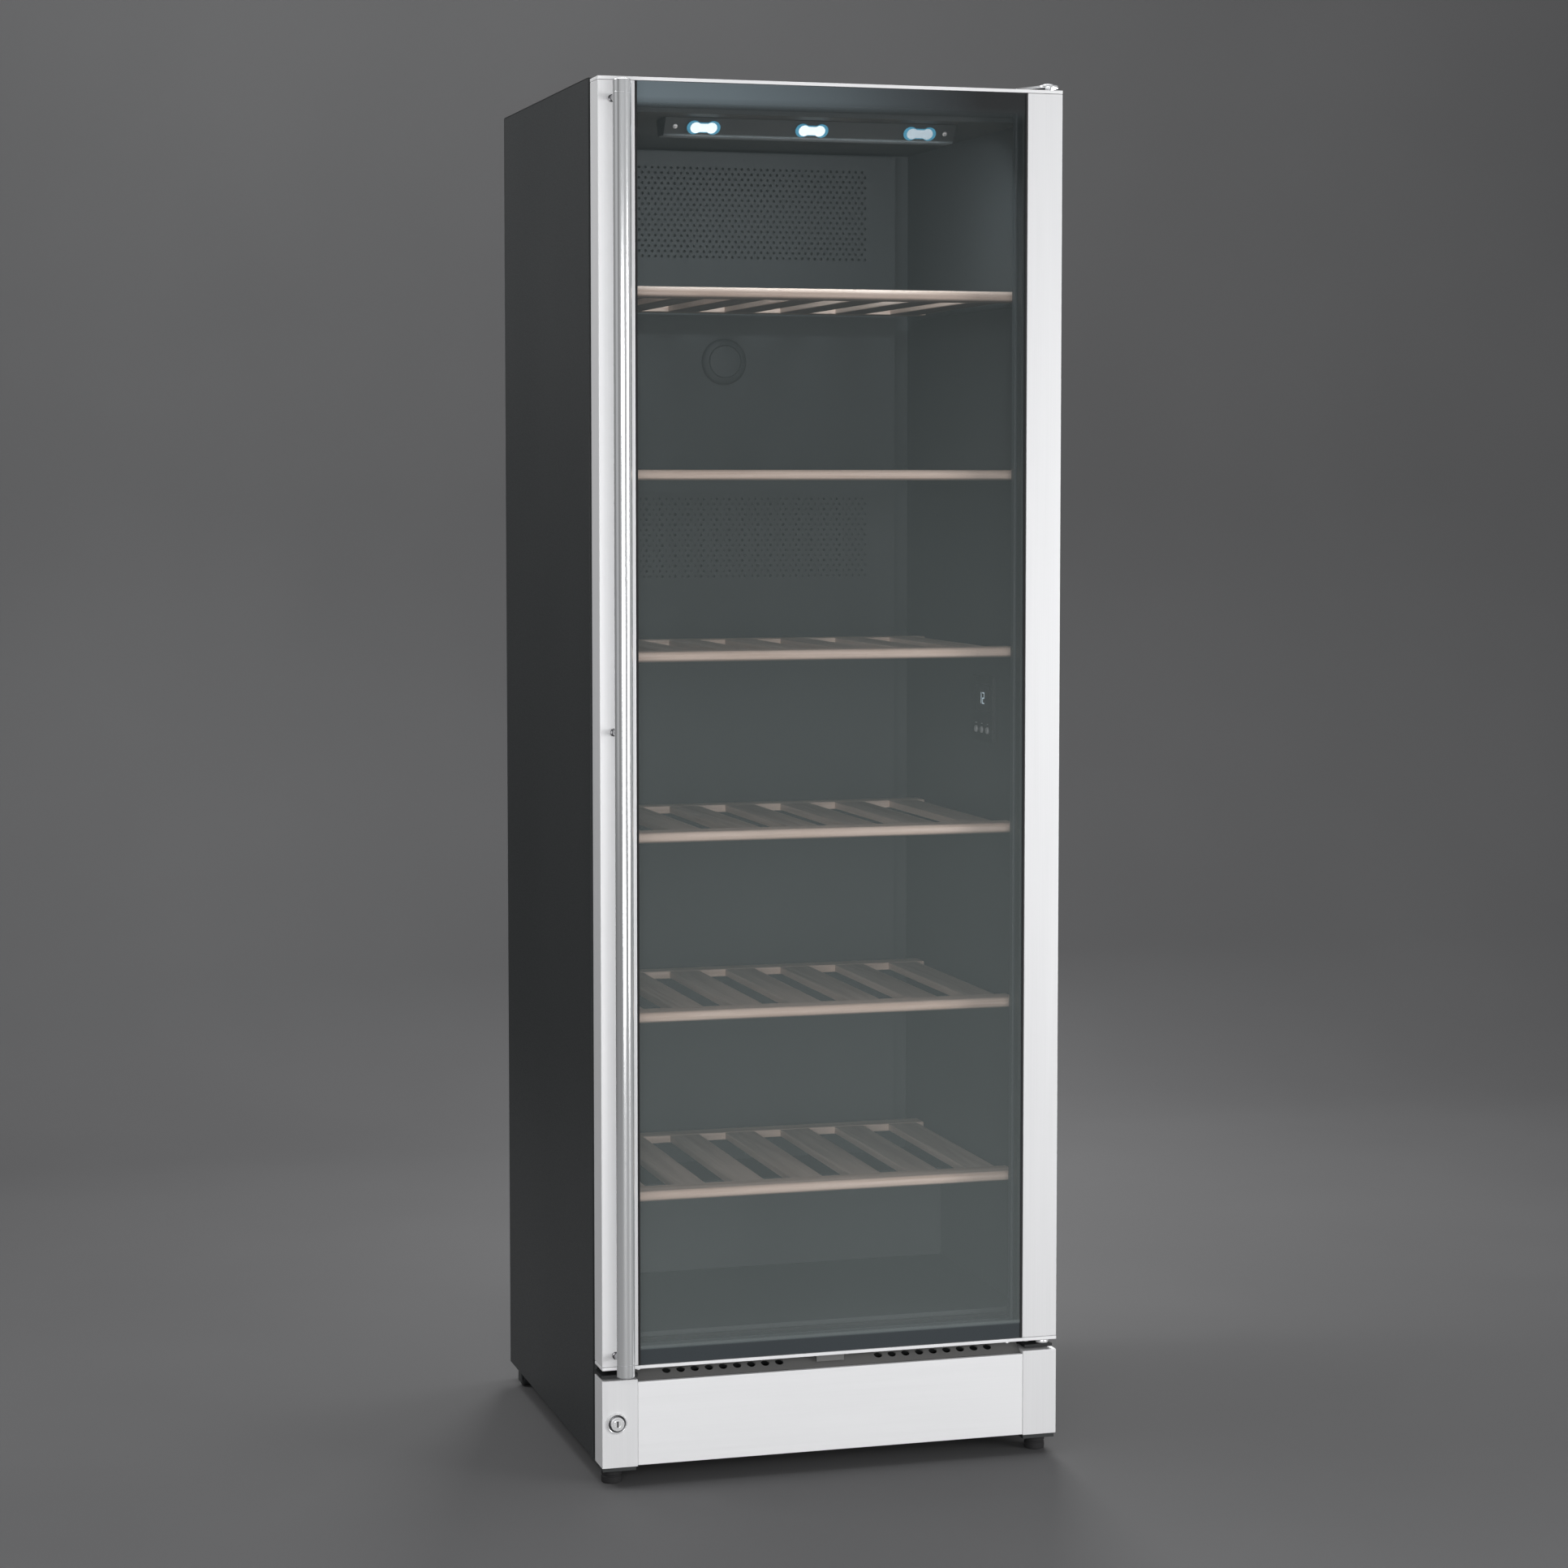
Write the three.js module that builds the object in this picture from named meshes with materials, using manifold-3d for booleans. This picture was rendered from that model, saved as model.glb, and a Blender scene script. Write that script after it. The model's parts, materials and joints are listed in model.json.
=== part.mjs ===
// A tall free-standing wine cooler with a glass door, built as separate named pieces.
// Millimetres, +Z up. The origin is on the floor under the middle of the whole object, the front faces -Y.
import * as THREE from 'three';
import { mergeVertices } from 'three/addons/utils/BufferGeometryUtils.js';
import Module from 'manifold-3d';

// ---- driving dimensions ----------------------------------------------------------------------
const WIDTH = 595;
const FACE_TO_REAR = 555;
const HANDLE_DIAMETER = 22;
const HANDLE_STANDOFF = 52;
const DOOR_DEPTH = 40;
const GASKET_GAP = 11;
const CABINET_BOTTOM = 25;
const PLINTH_TOP = 134;
const DOOR_BOTTOM = 147;
const DOOR_TOP = 1725.5;
const CABINET_TOP = 1729;
const CLEARANCE = 0.3;

const HALF_WIDTH = WIDTH / 2;
const OVERALL_DEPTH = FACE_TO_REAR + HANDLE_STANDOFF + HANDLE_DIAMETER / 2;
const REAR_Y = OVERALL_DEPTH / 2;
const FACE_Y = REAR_Y - FACE_TO_REAR;
const DOOR_BACK_Y = FACE_Y + DOOR_DEPTH;
const CABINET_FRONT_Y = DOOR_BACK_Y + GASKET_GAP;

// Cabinet shell
const SHEET = 1.2;
const SIDE_FLANGE = 20;
const SHELL_INNER_X = HALF_WIDTH - SHEET - CLEARANCE;
const REAR_PANEL_FRONT_Y = REAR_Y - SHEET - CLEARANCE - 1.5;
const FOAM_BACK_Y = REAR_PANEL_FRONT_Y - CLEARANCE;
const CABINET_FLOOR = 150;

// Liner and the room inside it
const LINER_WALL = 2;
const ROOM_HALF_WIDTH = 267;
const ROOM_FLOOR = 180;
const ROOM_CEILING = 1689;
const ROOM_BACK_Y = REAR_Y - 30;
const STEP_FRONT_Y = REAR_Y - 185;
const STEP_TOP = 300;
const LINER_LIP = 2;
const LEDGE = { width: 6, height: 5, front: 22, back: 60 };

// Machine bay at the lower rear
const BAY_FRONT_Y = REAR_Y - 153;
const BAY_TOP = 258;

// Shelves
const SHELF_COUNT = 6;
const LOWEST_SHELF = 341;
const SHELF_PITCH = 225;
const SHELF_HALF_WIDTH = 265;
const SHELF_FRONT_Y = FACE_Y + 62;
const SHELF_DEPTH = 405;
const SHELF_BAR = { depth: 40, height: 13 };
const LATH = { count: 7, width: 42, pitch: 78, height: 10 };
const SHELF_BACK_BAR = 30;

// Duct cover on the back wall and what is behind it
const COVER = { halfWidth: 237, frontY: FACE_Y + 490, sheet: 2, bottom: 303, top: 1684 };
const COVER_VENTS = [[1107, 1220], [1540, 1669]];
const VENT_SLOT = { length: 400, height: 5, pitch: 16 };
const DUCT_FAN = { x: -8, z: 1402, size: 116, depth: 24 };

// Door
const DOOR_HINGE = { x: 283, y: FACE_Y + 14 };
const PROFILE_WIDTH = 46;
const PROFILE_WALL = 2.5;
const RAIL = 4;
const GLASS_HALF_WIDTH = HALF_WIDTH - PROFILE_WIDTH - CLEARANCE;
const GLASS_OUTER = { front: FACE_Y + 1.5, thickness: 5 };
const GLASS_INNER = { front: FACE_Y + 24, thickness: 4 };
const INNER_FRAME = { back: 2.7, sideEdge: 247, lower: 171, upper: 1701, outerX: 290, rim: 8 };
const GASKET = { outerX: 283, innerX: 271, outerZ: 17, innerZ: 3 };
const PIN_RADIUS = 4;
const HANDLE_X = -280;
const HANDLE_POSTS = [{ name: 'lower', z: 166 }, { name: 'middle', z: 935 }, { name: 'upper', z: 1699 }];
const HANDLE_END_GAP = { bottom: 5, top: 9 };
const POST_RADIUS = 3.6;

// Plinth, lock, grille and feet
const BLOCK_WIDTH = 45;
const BLOCK_WALL = 2.5;
const LOCK = { x: -279, z: 80.6, ring: 13, barrel: 8.5, proud: 5, length: 22.6 };
const BOLT = { width: 10, depth: 6, y: FACE_Y + 27, bottom: 94, top: 133.5 };
const KEEPER_WIDTH = 35;
const GRILLE_HOLE = { radius: 5.5, first: 65, pitch: 18.25, count: 9 };
const FOOT = { x: 279, y: FACE_Y + 30, radius: 13, top: 19, stemTop: 60 };
const FOOT_PLATE = { inner: 254, outer: 296, front: FACE_Y + 3, back: FACE_Y + 70, thickness: 5 };
const FOOT_HOLE = 4.8;
const INLET = { x: -235, z: 75 };
const ROLLER = { x: 280, y: REAR_Y - 40, radius: 14, width: 20, bore: 3.6 };

// Lamp bar under the ceiling, with three lenses on its slanted front
const LAMP = { halfWidth: 190, front: FACE_Y + 92, depth: 46, bottom: 1667 };
const LENS = { y: FACE_Y + 98.1, z: 1677.4, tilt: 32, lobe: 9.3, spread: 12.2 };
const LENS_PLACES = { left: -140, middle: 0, right: 142 };

// Controls on the right wall of the room
const PANEL = { front: FACE_Y + 150, back: FACE_Y + 230, bottom: 900, top: 985, depth: 6 };
const BUTTON = { radius: 4.5, z: 915, pitch: 22, stroke: 1 };

const ROUND = 24;

// ---- solid helpers ---------------------------------------------------------------------------
const wasm = await Module();
wasm.setup();

// A closed, indexed geometry with position only, without the empty triangles that poles leave.
function bare(geometry) {
  const copy = geometry.index ? geometry.toNonIndexed() : geometry.clone();
  for (const name of Object.keys(copy.attributes)) {
    if (name !== 'position') copy.deleteAttribute(name);
  }
  const merged = mergeVertices(copy, 1e-4);
  const corners = merged.index.array;
  const kept = [];
  for (let i = 0; i < corners.length; i += 3) {
    const [a, b, c] = [corners[i], corners[i + 1], corners[i + 2]];
    if (a !== b && b !== c && c !== a) kept.push(a, b, c);
  }
  merged.setIndex(kept);
  return merged;
}

function toSolid(geometry) {
  const closed = bare(geometry);
  return new wasm.Manifold(new wasm.Mesh({
    numProp: 3,
    vertProperties: Float32Array.from(closed.attributes.position.array),
    triVerts: Uint32Array.from(closed.index.array),
  }));
}

function toGeometry(solid) {
  const mesh = solid.getMesh();
  const geometry = new THREE.BufferGeometry();
  geometry.setAttribute('position', new THREE.BufferAttribute(Float32Array.from(mesh.vertProperties), 3));
  geometry.setIndex(Array.from(mesh.triVerts));
  return geometry;
}

function join(...geometries) {
  const [first, ...rest] = geometries.map(toSolid);
  return toGeometry(rest.reduce((sum, solid) => sum.add(solid), first));
}

function cut(base, ...tools) {
  return toGeometry(tools.map(toSolid).reduce((left, tool) => left.subtract(tool), toSolid(base)));
}

// A box between two corners, given as [low, high] for each axis.
function block([x0, x1], [y0, y1], [z0, z1]) {
  const geometry = new THREE.BoxGeometry(x1 - x0, y1 - y0, z1 - z0);
  return geometry.translate((x0 + x1) / 2, (y0 + y1) / 2, (z0 + z1) / 2);
}

// An outline extruded along one axis. Along x it is drawn in (y, z), along y in (x, z), along z in (x, y).
function extrude(axis, outline, from, to, holes = []) {
  const drawn = outline instanceof THREE.Shape;
  const shape = drawn ? outline : new THREE.Shape(outline.map(([a, b]) => new THREE.Vector2(a, b)));
  for (const hole of holes) {
    shape.holes.push(new THREE.Path(hole.map(([a, b]) => new THREE.Vector2(a, b))));
  }
  const geometry = new THREE.ExtrudeGeometry(shape, {
    depth: to - from,
    bevelEnabled: false,
    curveSegments: ROUND / 4,
  });
  const [x, y, z] = [new THREE.Vector3(1, 0, 0), new THREE.Vector3(0, 1, 0), new THREE.Vector3(0, 0, 1)];
  const turn = new THREE.Matrix4();
  if (axis === 'x') turn.makeBasis(y, z, x).setPosition(from, 0, 0);
  if (axis === 'y') turn.makeBasis(x, z, y.clone().negate()).setPosition(0, to, 0);
  if (axis === 'z') turn.makeBasis(x, y, z).setPosition(0, 0, from);
  return geometry.applyMatrix4(turn);
}

// A round bar along one axis between two places on that axis, about the two other coordinates.
function rod(axis, radius, from, to, [a, b], sides = ROUND) {
  const geometry = new THREE.CylinderGeometry(radius, radius, to - from, sides);
  const middle = (from + to) / 2;
  if (axis === 'x') return geometry.rotateZ(-Math.PI / 2).translate(middle, a, b);
  if (axis === 'y') return geometry.translate(a, middle, b);
  return geometry.rotateX(Math.PI / 2).translate(a, b, middle);
}

// A body of revolution about z from [radius, height] points.
function lathe(points, sides = ROUND) {
  const outline = points.map(([r, z]) => new THREE.Vector2(r, z));
  return new THREE.LatheGeometry(outline, sides).rotateX(Math.PI / 2);
}

// A rectangular ring: the outer rectangle less the inner one, extruded along y.
function frameRing(outerX, outerZ, innerX, innerZ, from, to) {
  const rectangle = (x, [z0, z1]) => [[-x, z0], [x, z0], [x, z1], [-x, z1]];
  return extrude('y', rectangle(outerX, outerZ), from, to, [rectangle(innerX, innerZ)]);
}

function mirrored(points) {
  return points.map(([x, y]) => [-x, y]);
}

const FINISH = {
  anodised: { color: 0xe6e6e8, roughness: 0.35, metalness: 0.9 },
  satin: { color: 0xc9cbcd, roughness: 0.28, metalness: 1.0 },
  darkSheet: { color: 0x3a3c3d, roughness: 0.5, metalness: 0.4 },
  blackPlastic: { color: 0x17191a, roughness: 0.5, metalness: 0.0 },
  liner: { color: 0x4a5052, roughness: 0.6, metalness: 0.0 },
  zinc: { color: 0x9b9ea0, roughness: 0.4, metalness: 0.9 },
  copper: { color: 0xa8693f, roughness: 0.35, metalness: 0.9 },
  foam: { color: 0xd9cfa3, roughness: 0.9, metalness: 0.0 },
  oak: { color: 0xc9a57c, roughness: 0.6, metalness: 0.0 },
  glass: { color: 0x6c7675, roughness: 0.05, metalness: 0.0 },
  lamp: { color: 0xe8f6ff, roughness: 0.3, metalness: 0.0 },
  rubber: { color: 0x151515, roughness: 0.85, metalness: 0.0 },
};

function piece(name, finish, geometry) {
  const mesh = new THREE.Mesh(bare(geometry), new THREE.MeshStandardMaterial(FINISH[finish]));
  mesh.name = name;
  return mesh;
}

// ---- cabinet shell ---------------------------------------------------------------------------
// A side sheet with its front and rear edges folded inwards; the front fold stops above the base frame.
function sidePanel(side) {
  const front = CABINET_FRONT_Y + LINER_LIP + CLEARANCE;
  const inner = HALF_WIDTH - SHEET;
  const folded = HALF_WIDTH - SIDE_FLANGE;
  const outline = [
    [HALF_WIDTH, CABINET_FRONT_Y], [HALF_WIDTH, REAR_Y], [folded, REAR_Y], [folded, REAR_Y - SHEET],
    [inner, REAR_Y - SHEET], [inner, front + SHEET], [folded, front + SHEET], [folded, front],
    [inner, front], [inner, CABINET_FRONT_Y],
  ];
  const drawn = side > 0 ? outline : mirrored(outline);
  const sheet = extrude('z', drawn, CABINET_BOTTOM, CABINET_TOP - SHEET - CLEARANCE);
  const notchX = [side * (inner - 0.01), side * (folded - 5)].sort((a, b) => a - b);
  return cut(sheet, block(notchX, [front - 0.5, front + SHEET + 0.5], [CABINET_BOTTOM - 1, CABINET_FLOOR]));
}

function topPanel() {
  const low = CABINET_TOP - SHEET;
  const sheet = block([-HALF_WIDTH, HALF_WIDTH], [CABINET_FRONT_Y, REAR_Y], [low, CABINET_TOP]);
  const edge = 12;
  const inside = SHELL_INNER_X - 22;
  const rearFold = block([-inside, inside], [REAR_Y - SHEET, REAR_Y], [low - edge, CABINET_TOP]);
  return join(sheet, rearFold);
}

function rearPanel() {
  const back = REAR_Y - SHEET - CLEARANCE;
  const sheet = block([-SHELL_INNER_X, SHELL_INNER_X], [REAR_PANEL_FRONT_Y, back], [BAY_TOP, 1712]);
  const rib = (x) => block([x - 8, x + 8], [back - 0.5, back + 1.2], [330, 1650]);
  return join(sheet, rib(-150), rib(0), rib(150));
}

// The room's outline in (y, z), grown outwards by a margin and open towards the front.
function roomOutline(margin, frontY) {
  return [
    [frontY, ROOM_FLOOR - margin], [STEP_FRONT_Y + margin, ROOM_FLOOR - margin],
    [STEP_FRONT_Y + margin, STEP_TOP - margin], [ROOM_BACK_Y + margin, STEP_TOP - margin],
    [ROOM_BACK_Y + margin, ROOM_CEILING + margin], [frontY, ROOM_CEILING + margin],
  ];
}

function shelfLevel(index) {
  return LOWEST_SHELF + index * SHELF_PITCH;
}

function innerLiner() {
  const lipBack = CABINET_FRONT_Y + LINER_LIP;
  const lip = block(
    [-SHELL_INNER_X, SHELL_INNER_X], [CABINET_FRONT_Y, lipBack],
    [CABINET_FLOOR, CABINET_TOP - SHEET - CLEARANCE],
  );
  const outer = ROOM_HALF_WIDTH + LINER_WALL;
  const shell = extrude('x', roomOutline(LINER_WALL, CABINET_FRONT_Y + 1), -outer, outer);
  const room = extrude('x', roomOutline(0, CABINET_FRONT_Y - 1), -ROOM_HALF_WIDTH, ROOM_HALF_WIDTH);
  const ledges = [];
  for (let i = 0; i < SHELF_COUNT; i += 1) {
    const top = shelfLevel(i) - CLEARANCE;
    for (const side of [-1, 1]) {
      const inside = side * (ROOM_HALF_WIDTH - LEDGE.width);
      const wall = side * (ROOM_HALF_WIDTH + 1);
      ledges.push(block(
        [Math.min(inside, wall), Math.max(inside, wall)],
        [CABINET_FRONT_Y + LEDGE.front, ROOM_BACK_Y - LEDGE.back],
        [top - LEDGE.height, top],
      ));
    }
  }
  return join(cut(join(lip, shell), room), ...ledges);
}

function foamInsulation() {
  const front = CABINET_FRONT_Y + LINER_LIP + SHEET + 2 * CLEARANCE;
  const top = CABINET_TOP - SHEET - CLEARANCE;
  const outline = [
    [front, CABINET_FLOOR], [BAY_FRONT_Y, CABINET_FLOOR], [BAY_FRONT_Y, BAY_TOP],
    [FOAM_BACK_Y, BAY_TOP], [FOAM_BACK_Y, top], [front, top],
  ];
  const body = extrude('x', outline, -SHELL_INNER_X, SHELL_INNER_X);
  const margin = LINER_WALL + CLEARANCE;
  const reach = ROOM_HALF_WIDTH + margin;
  return cut(body, extrude('x', roomOutline(margin, front - 1), -reach, reach));
}

// A folded steel pan that carries the cabinet, the machine bay, the feet and the rollers.
function baseFrame() {
  const front = DOOR_BACK_Y + CLEARANCE;
  const wall = 2;
  const top = CABINET_FLOOR - CLEARANCE;
  const [outer, inner] = [SHELL_INNER_X, SHELL_INNER_X - wall];
  const outline = [
    [-outer, CABINET_BOTTOM], [outer, CABINET_BOTTOM], [outer, top], [inner, top],
    [inner, CABINET_BOTTOM + wall], [-inner, CABINET_BOTTOM + wall], [-inner, top], [-outer, top],
  ];
  const pan = extrude('y', outline, front, FOAM_BACK_Y);
  const bayWall = cut(
    block([-outer, outer], [BAY_FRONT_Y + CLEARANCE, BAY_FRONT_Y + 2], [CABINET_BOTTOM, BAY_TOP - CLEARANCE]),
    block([-210, 210], [BAY_FRONT_Y - 5, BAY_FRONT_Y + 5], [45, 135]),
  );
  const crossMember = cut(
    block([-outer, outer], [CABINET_FRONT_Y, CABINET_FRONT_Y + 2], [CABINET_BOTTOM, top]),
    block([-200, 200], [CABINET_FRONT_Y - 5, CABINET_FRONT_Y + 5], [45, 128]),
  );
  const parts = [pan, bayWall, crossMember];
  const holes = [];
  for (const side of [-1, 1]) {
    const halfWidth = ROLLER.width / 2 + 1;
    const x0 = side * ROLLER.x - halfWidth;
    const x1 = side * ROLLER.x + halfWidth;
    for (const x of [x0 - 2, x1]) {
      parts.push(block([x, x + 2], [ROLLER.y - 9, ROLLER.y + 9], [6, CABINET_BOTTOM + wall]));
    }
    parts.push(rod('x', 3, x0 - 1, x1 + 1, [ROLLER.y, ROLLER.radius], 12));
    holes.push(block([x0, x1], [ROLLER.y - 18, ROLLER.y + 18], [CABINET_BOTTOM - 1, CABINET_BOTTOM + 10]));
    parts.push(footPlate(side));
  }
  return join(cut(join(...parts.slice(0, 3)), ...holes), ...parts.slice(3));
}

// A plate under the plinth block that holds a levelling foot and steps up into the pan behind the block.
function footPlate(side) {
  const { inner, outer, front, back, thickness } = FOOT_PLATE;
  const reach = [side * inner, side * outer].sort((a, b) => a - b);
  const top = CABINET_BOTTOM - CLEARANCE;
  const plate = block(reach, [front, back], [top - thickness, top]);
  const step = block(reach, [DOOR_BACK_Y + 2, back], [top - 1, CABINET_BOTTOM + 1]);
  const stemHole = rod('z', FOOT_HOLE, top - thickness - 1, top + 1, [side * FOOT.x, FOOT.y], 16);
  return join(cut(plate, stemHole), step);
}

function rearCover() {
  const back = REAR_Y - SHEET - CLEARANCE;
  const sheet = block([-SHELL_INNER_X, SHELL_INNER_X], [REAR_PANEL_FRONT_Y, back], [30, BAY_TOP - CLEARANCE]);
  const through = [REAR_PANEL_FRONT_Y - 2, back + 2];
  const openings = [block([INLET.x - 24, INLET.x + 24], through, [INLET.z - 15, INLET.z + 15])];
  for (let row = 0; row < 7; row += 1) {
    for (const x of [-115, 115]) {
      const z = 62 + row * 25;
      openings.push(block([x - 80, x + 80], through, [z, z + 9]));
    }
  }
  return cut(sheet, ...openings);
}

// ---- cooling machinery -----------------------------------------------------------------------
const BAY_CENTRE_Y = (BAY_FRONT_Y + REAR_PANEL_FRONT_Y) / 2;

function compressor() {
  const pot = lathe([[0, 40], [70, 40], [88, 52], [92, 70], [92, 140], [86, 178], [62, 204], [0, 212]], 28);
  pot.scale(1, 0.68, 1);
  const plate = block([-100, 100], [-55, 55], [33, 42]);
  const foot = (x, y) => rod('z', 10, CABINET_BOTTOM + 2 + CLEARANCE, 35, [x, y], 12);
  const stub = rod('x', 5, 60, 104, [0, 120], 12);
  const feet = [foot(-82, -42), foot(82, -42), foot(-82, 42), foot(82, 42)];
  return join(pot, plate, stub, ...feet).translate(-150, BAY_CENTRE_Y, 0);
}

// One tube that runs to and fro in the machine bay.
function condenserCoil() {
  const points = [];
  const rows = 6;
  for (let row = 0; row < rows; row += 1) {
    const z = 52 + row * 32;
    const run = row % 2 === 0 ? [80, 150, 220] : [220, 150, 80];
    for (const x of run) points.push(new THREE.Vector3(x, BAY_CENTRE_Y, z));
    if (row < rows - 1) points.push(new THREE.Vector3(row % 2 === 0 ? 240 : 60, BAY_CENTRE_Y, z + 16));
  }
  const path = new THREE.CatmullRomCurve3(points);
  const section = new THREE.Shape(new THREE.EllipseCurve(0, 0, 4, 4).getPoints(8).slice(0, 8));
  return new THREE.ExtrudeGeometry(section, { steps: 78, extrudePath: path, bevelEnabled: false });
}

// A square fan frame around the y axis with a motor held on four arms.
function fanFrame(size, depth) {
  const half = size / 2;
  const shell = cut(
    block([-half, half], [0, depth], [-half, half]),
    rod('y', half - 3, -1, depth + 1, [0, 0], 32),
  );
  const motor = rod('y', 16, depth - 5, depth, [0, 0], 20);
  const arms = [
    block([-half + 1, half - 1], [depth - 4, depth - 1], [-2.5, 2.5]),
    block([-2.5, 2.5], [depth - 4, depth - 1], [-half + 1, half - 1]),
  ];
  return join(shell, motor, ...arms);
}

// A hub with twisted blades that turns about the y axis.
function fanRotor(size, depth) {
  const tip = size / 2 - 6;
  const hub = rod('y', 17, 1, depth - 6, [0, 0], 20);
  const blades = [];
  const count = 7;
  for (let i = 0; i < count; i += 1) {
    const length = tip - 12;
    const blade = new THREE.BoxGeometry(24, 1.6, length);
    blade.rotateZ(THREE.MathUtils.degToRad(32));
    blade.translate(0, (depth - 5) / 2, 12 + length / 2);
    blades.push(blade.rotateY((i * 2 * Math.PI) / count));
  }
  const sweep = rod('y', tip, 1, depth - 6, [0, 0], 32);
  return toGeometry(toSolid(join(hub, ...blades)).intersect(toSolid(sweep)));
}

function evaporator() {
  const [halfWidth, front, back] = [170, COVER.frontY + 7, ROOM_BACK_Y - 3];
  const spine = 6;
  const outline = [[-halfWidth, back], [-halfWidth, front]];
  const fins = 18;
  const pitch = (2 * halfWidth) / (fins - 0.5);
  for (let i = 0; i < fins; i += 1) {
    const finEnd = -halfWidth + (i + 0.5) * pitch;
    const next = finEnd + pitch / 2;
    outline.push([finEnd, front]);
    if (i < fins - 1) outline.push([finEnd, back - spine], [next, back - spine], [next, front]);
  }
  outline.push([halfWidth, back]);
  const finPack = extrude('z', outline, 1085, 1300);
  const stub = (side, z) => {
    const ends = [side * (halfWidth - 2), side * (halfWidth + 12)].sort((a, b) => a - b);
    return rod('x', 4, ...ends, [back - spine / 2 - 1, z], 10);
  };
  const stubs = [1120, 1190, 1260].flatMap((z) => [stub(-1, z), stub(1, z)]);
  return join(finPack, ...stubs);
}

// The panel over the back wall's air duct: a folded sheet with two slotted zones and the fan opening.
function ductCover() {
  const { halfWidth, frontY, sheet, bottom, top } = COVER;
  const back = ROOM_BACK_Y - CLEARANCE;
  const outline = [
    [-halfWidth, frontY], [halfWidth, frontY], [halfWidth, back], [halfWidth - sheet, back],
    [halfWidth - sheet, frontY + sheet], [-halfWidth + sheet, frontY + sheet],
    [-halfWidth + sheet, back], [-halfWidth, back],
  ];
  const cover = extrude('z', outline, bottom, top);
  const slots = [];
  for (const [low, high] of COVER_VENTS) {
    for (let z = low; z + VENT_SLOT.height <= high; z += VENT_SLOT.pitch) {
      const half = VENT_SLOT.length / 2;
      slots.push(block([-half, half], [frontY - 2, frontY + sheet + 2], [z, z + VENT_SLOT.height]));
    }
  }
  const fanHole = rod('y', 24, frontY - 2, frontY + sheet + 2, [DUCT_FAN.x, DUCT_FAN.z]);
  return cut(cover, ...slots, fanHole);
}

// A round cap with a low dome over the fan opening, turned about the y axis.
function filterCap() {
  const dome = lathe([[0, 0], [31, 0], [31, 3], [28, 6.5], [20, 9], [8, 10], [0, 10]], 32);
  dome.rotateX(Math.PI / 2);
  return dome;
}

// ---- lamp, shelves and controls --------------------------------------------------------------
function lampHousing() {
  const top = ROOM_CEILING - CLEARANCE;
  const back = LAMP.front + LAMP.depth;
  const outline = [
    [LAMP.front, top], [LAMP.front + 14, LAMP.bottom], [back - 6, LAMP.bottom], [back, top],
  ];
  return extrude('x', outline, -LAMP.halfWidth, LAMP.halfWidth);
}

// A double-lobed lens, drawn in (x, z) and thin along y.
function lampLens() {
  const { lobe, spread } = LENS;
  const open = 2.3;
  const shape = new THREE.Shape();
  shape.absarc(spread, 0, lobe, -open, open, false);
  shape.absarc(-spread, 0, lobe, Math.PI - open, Math.PI + open, false);
  shape.closePath();
  return extrude('y', shape, -1.5, 0);
}

// One shelf with its front edge at y = 0 and its underside at z = 0.
function shelf() {
  const { depth, height } = SHELF_BAR;
  const nose = height / 2;
  const bar = new THREE.Shape();
  bar.moveTo(depth, 0);
  bar.lineTo(depth, height);
  bar.lineTo(nose, height);
  bar.absarc(nose, nose, nose, Math.PI / 2, (3 * Math.PI) / 2, false);
  bar.closePath();
  const front = extrude('x', bar, -SHELF_HALF_WIDTH, SHELF_HALF_WIDTH);
  const back = block(
    [-SHELF_HALF_WIDTH, SHELF_HALF_WIDTH], [SHELF_DEPTH - SHELF_BACK_BAR, SHELF_DEPTH], [0, LATH.height],
  );
  const laths = [];
  for (let i = 0; i < LATH.count; i += 1) {
    const x = (i - (LATH.count - 1) / 2) * LATH.pitch;
    laths.push(block(
      [x - LATH.width / 2, x + LATH.width / 2],
      [depth - 5, SHELF_DEPTH - SHELF_BACK_BAR + 5],
      [0, LATH.height],
    ));
  }
  return join(front, back, ...laths);
}

const PANEL_CENTRE_Y = (PANEL.front + PANEL.back) / 2;
const WINDOW = { halfWidth: 30, bottom: 938, top: 975 };

function buttonY(index) {
  return PANEL_CENTRE_Y + (index - 1) * BUTTON.pitch;
}

function controlPanel() {
  const wall = ROOM_HALF_WIDTH - CLEARANCE;
  const face = wall - PANEL.depth;
  const plate = block([face, wall], [PANEL.front, PANEL.back], [PANEL.bottom, PANEL.top]);
  const window = block(
    [face - 1, face + 1.5],
    [PANEL_CENTRE_Y - WINDOW.halfWidth, PANEL_CENTRE_Y + WINDOW.halfWidth], [WINDOW.bottom, WINDOW.top],
  );
  const wells = [0, 1, 2].map((i) => (
    rod('x', BUTTON.radius + 0.5, face - 1, face + 4, [buttonY(i), BUTTON.z], 20)
  ));
  return cut(plate, window, ...wells);
}

function displayWindow() {
  const face = ROOM_HALF_WIDTH - CLEARANCE - PANEL.depth;
  const reach = WINDOW.halfWidth - CLEARANCE;
  return block(
    [face, face + 1.5 - CLEARANCE],
    [PANEL_CENTRE_Y - reach, PANEL_CENTRE_Y + reach], [WINDOW.bottom + CLEARANCE, WINDOW.top - CLEARANCE],
  );
}

// A push button about the x axis; its face is at x = 0 and it is pressed towards +x.
function pushButton() {
  const { radius } = BUTTON;
  const cap = lathe([[0, 0], [radius, 0], [radius, 3.6], [radius - 1, 4.4], [0, 4.6]], 20);
  return cap.rotateY(-Math.PI / 2);
}

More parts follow.
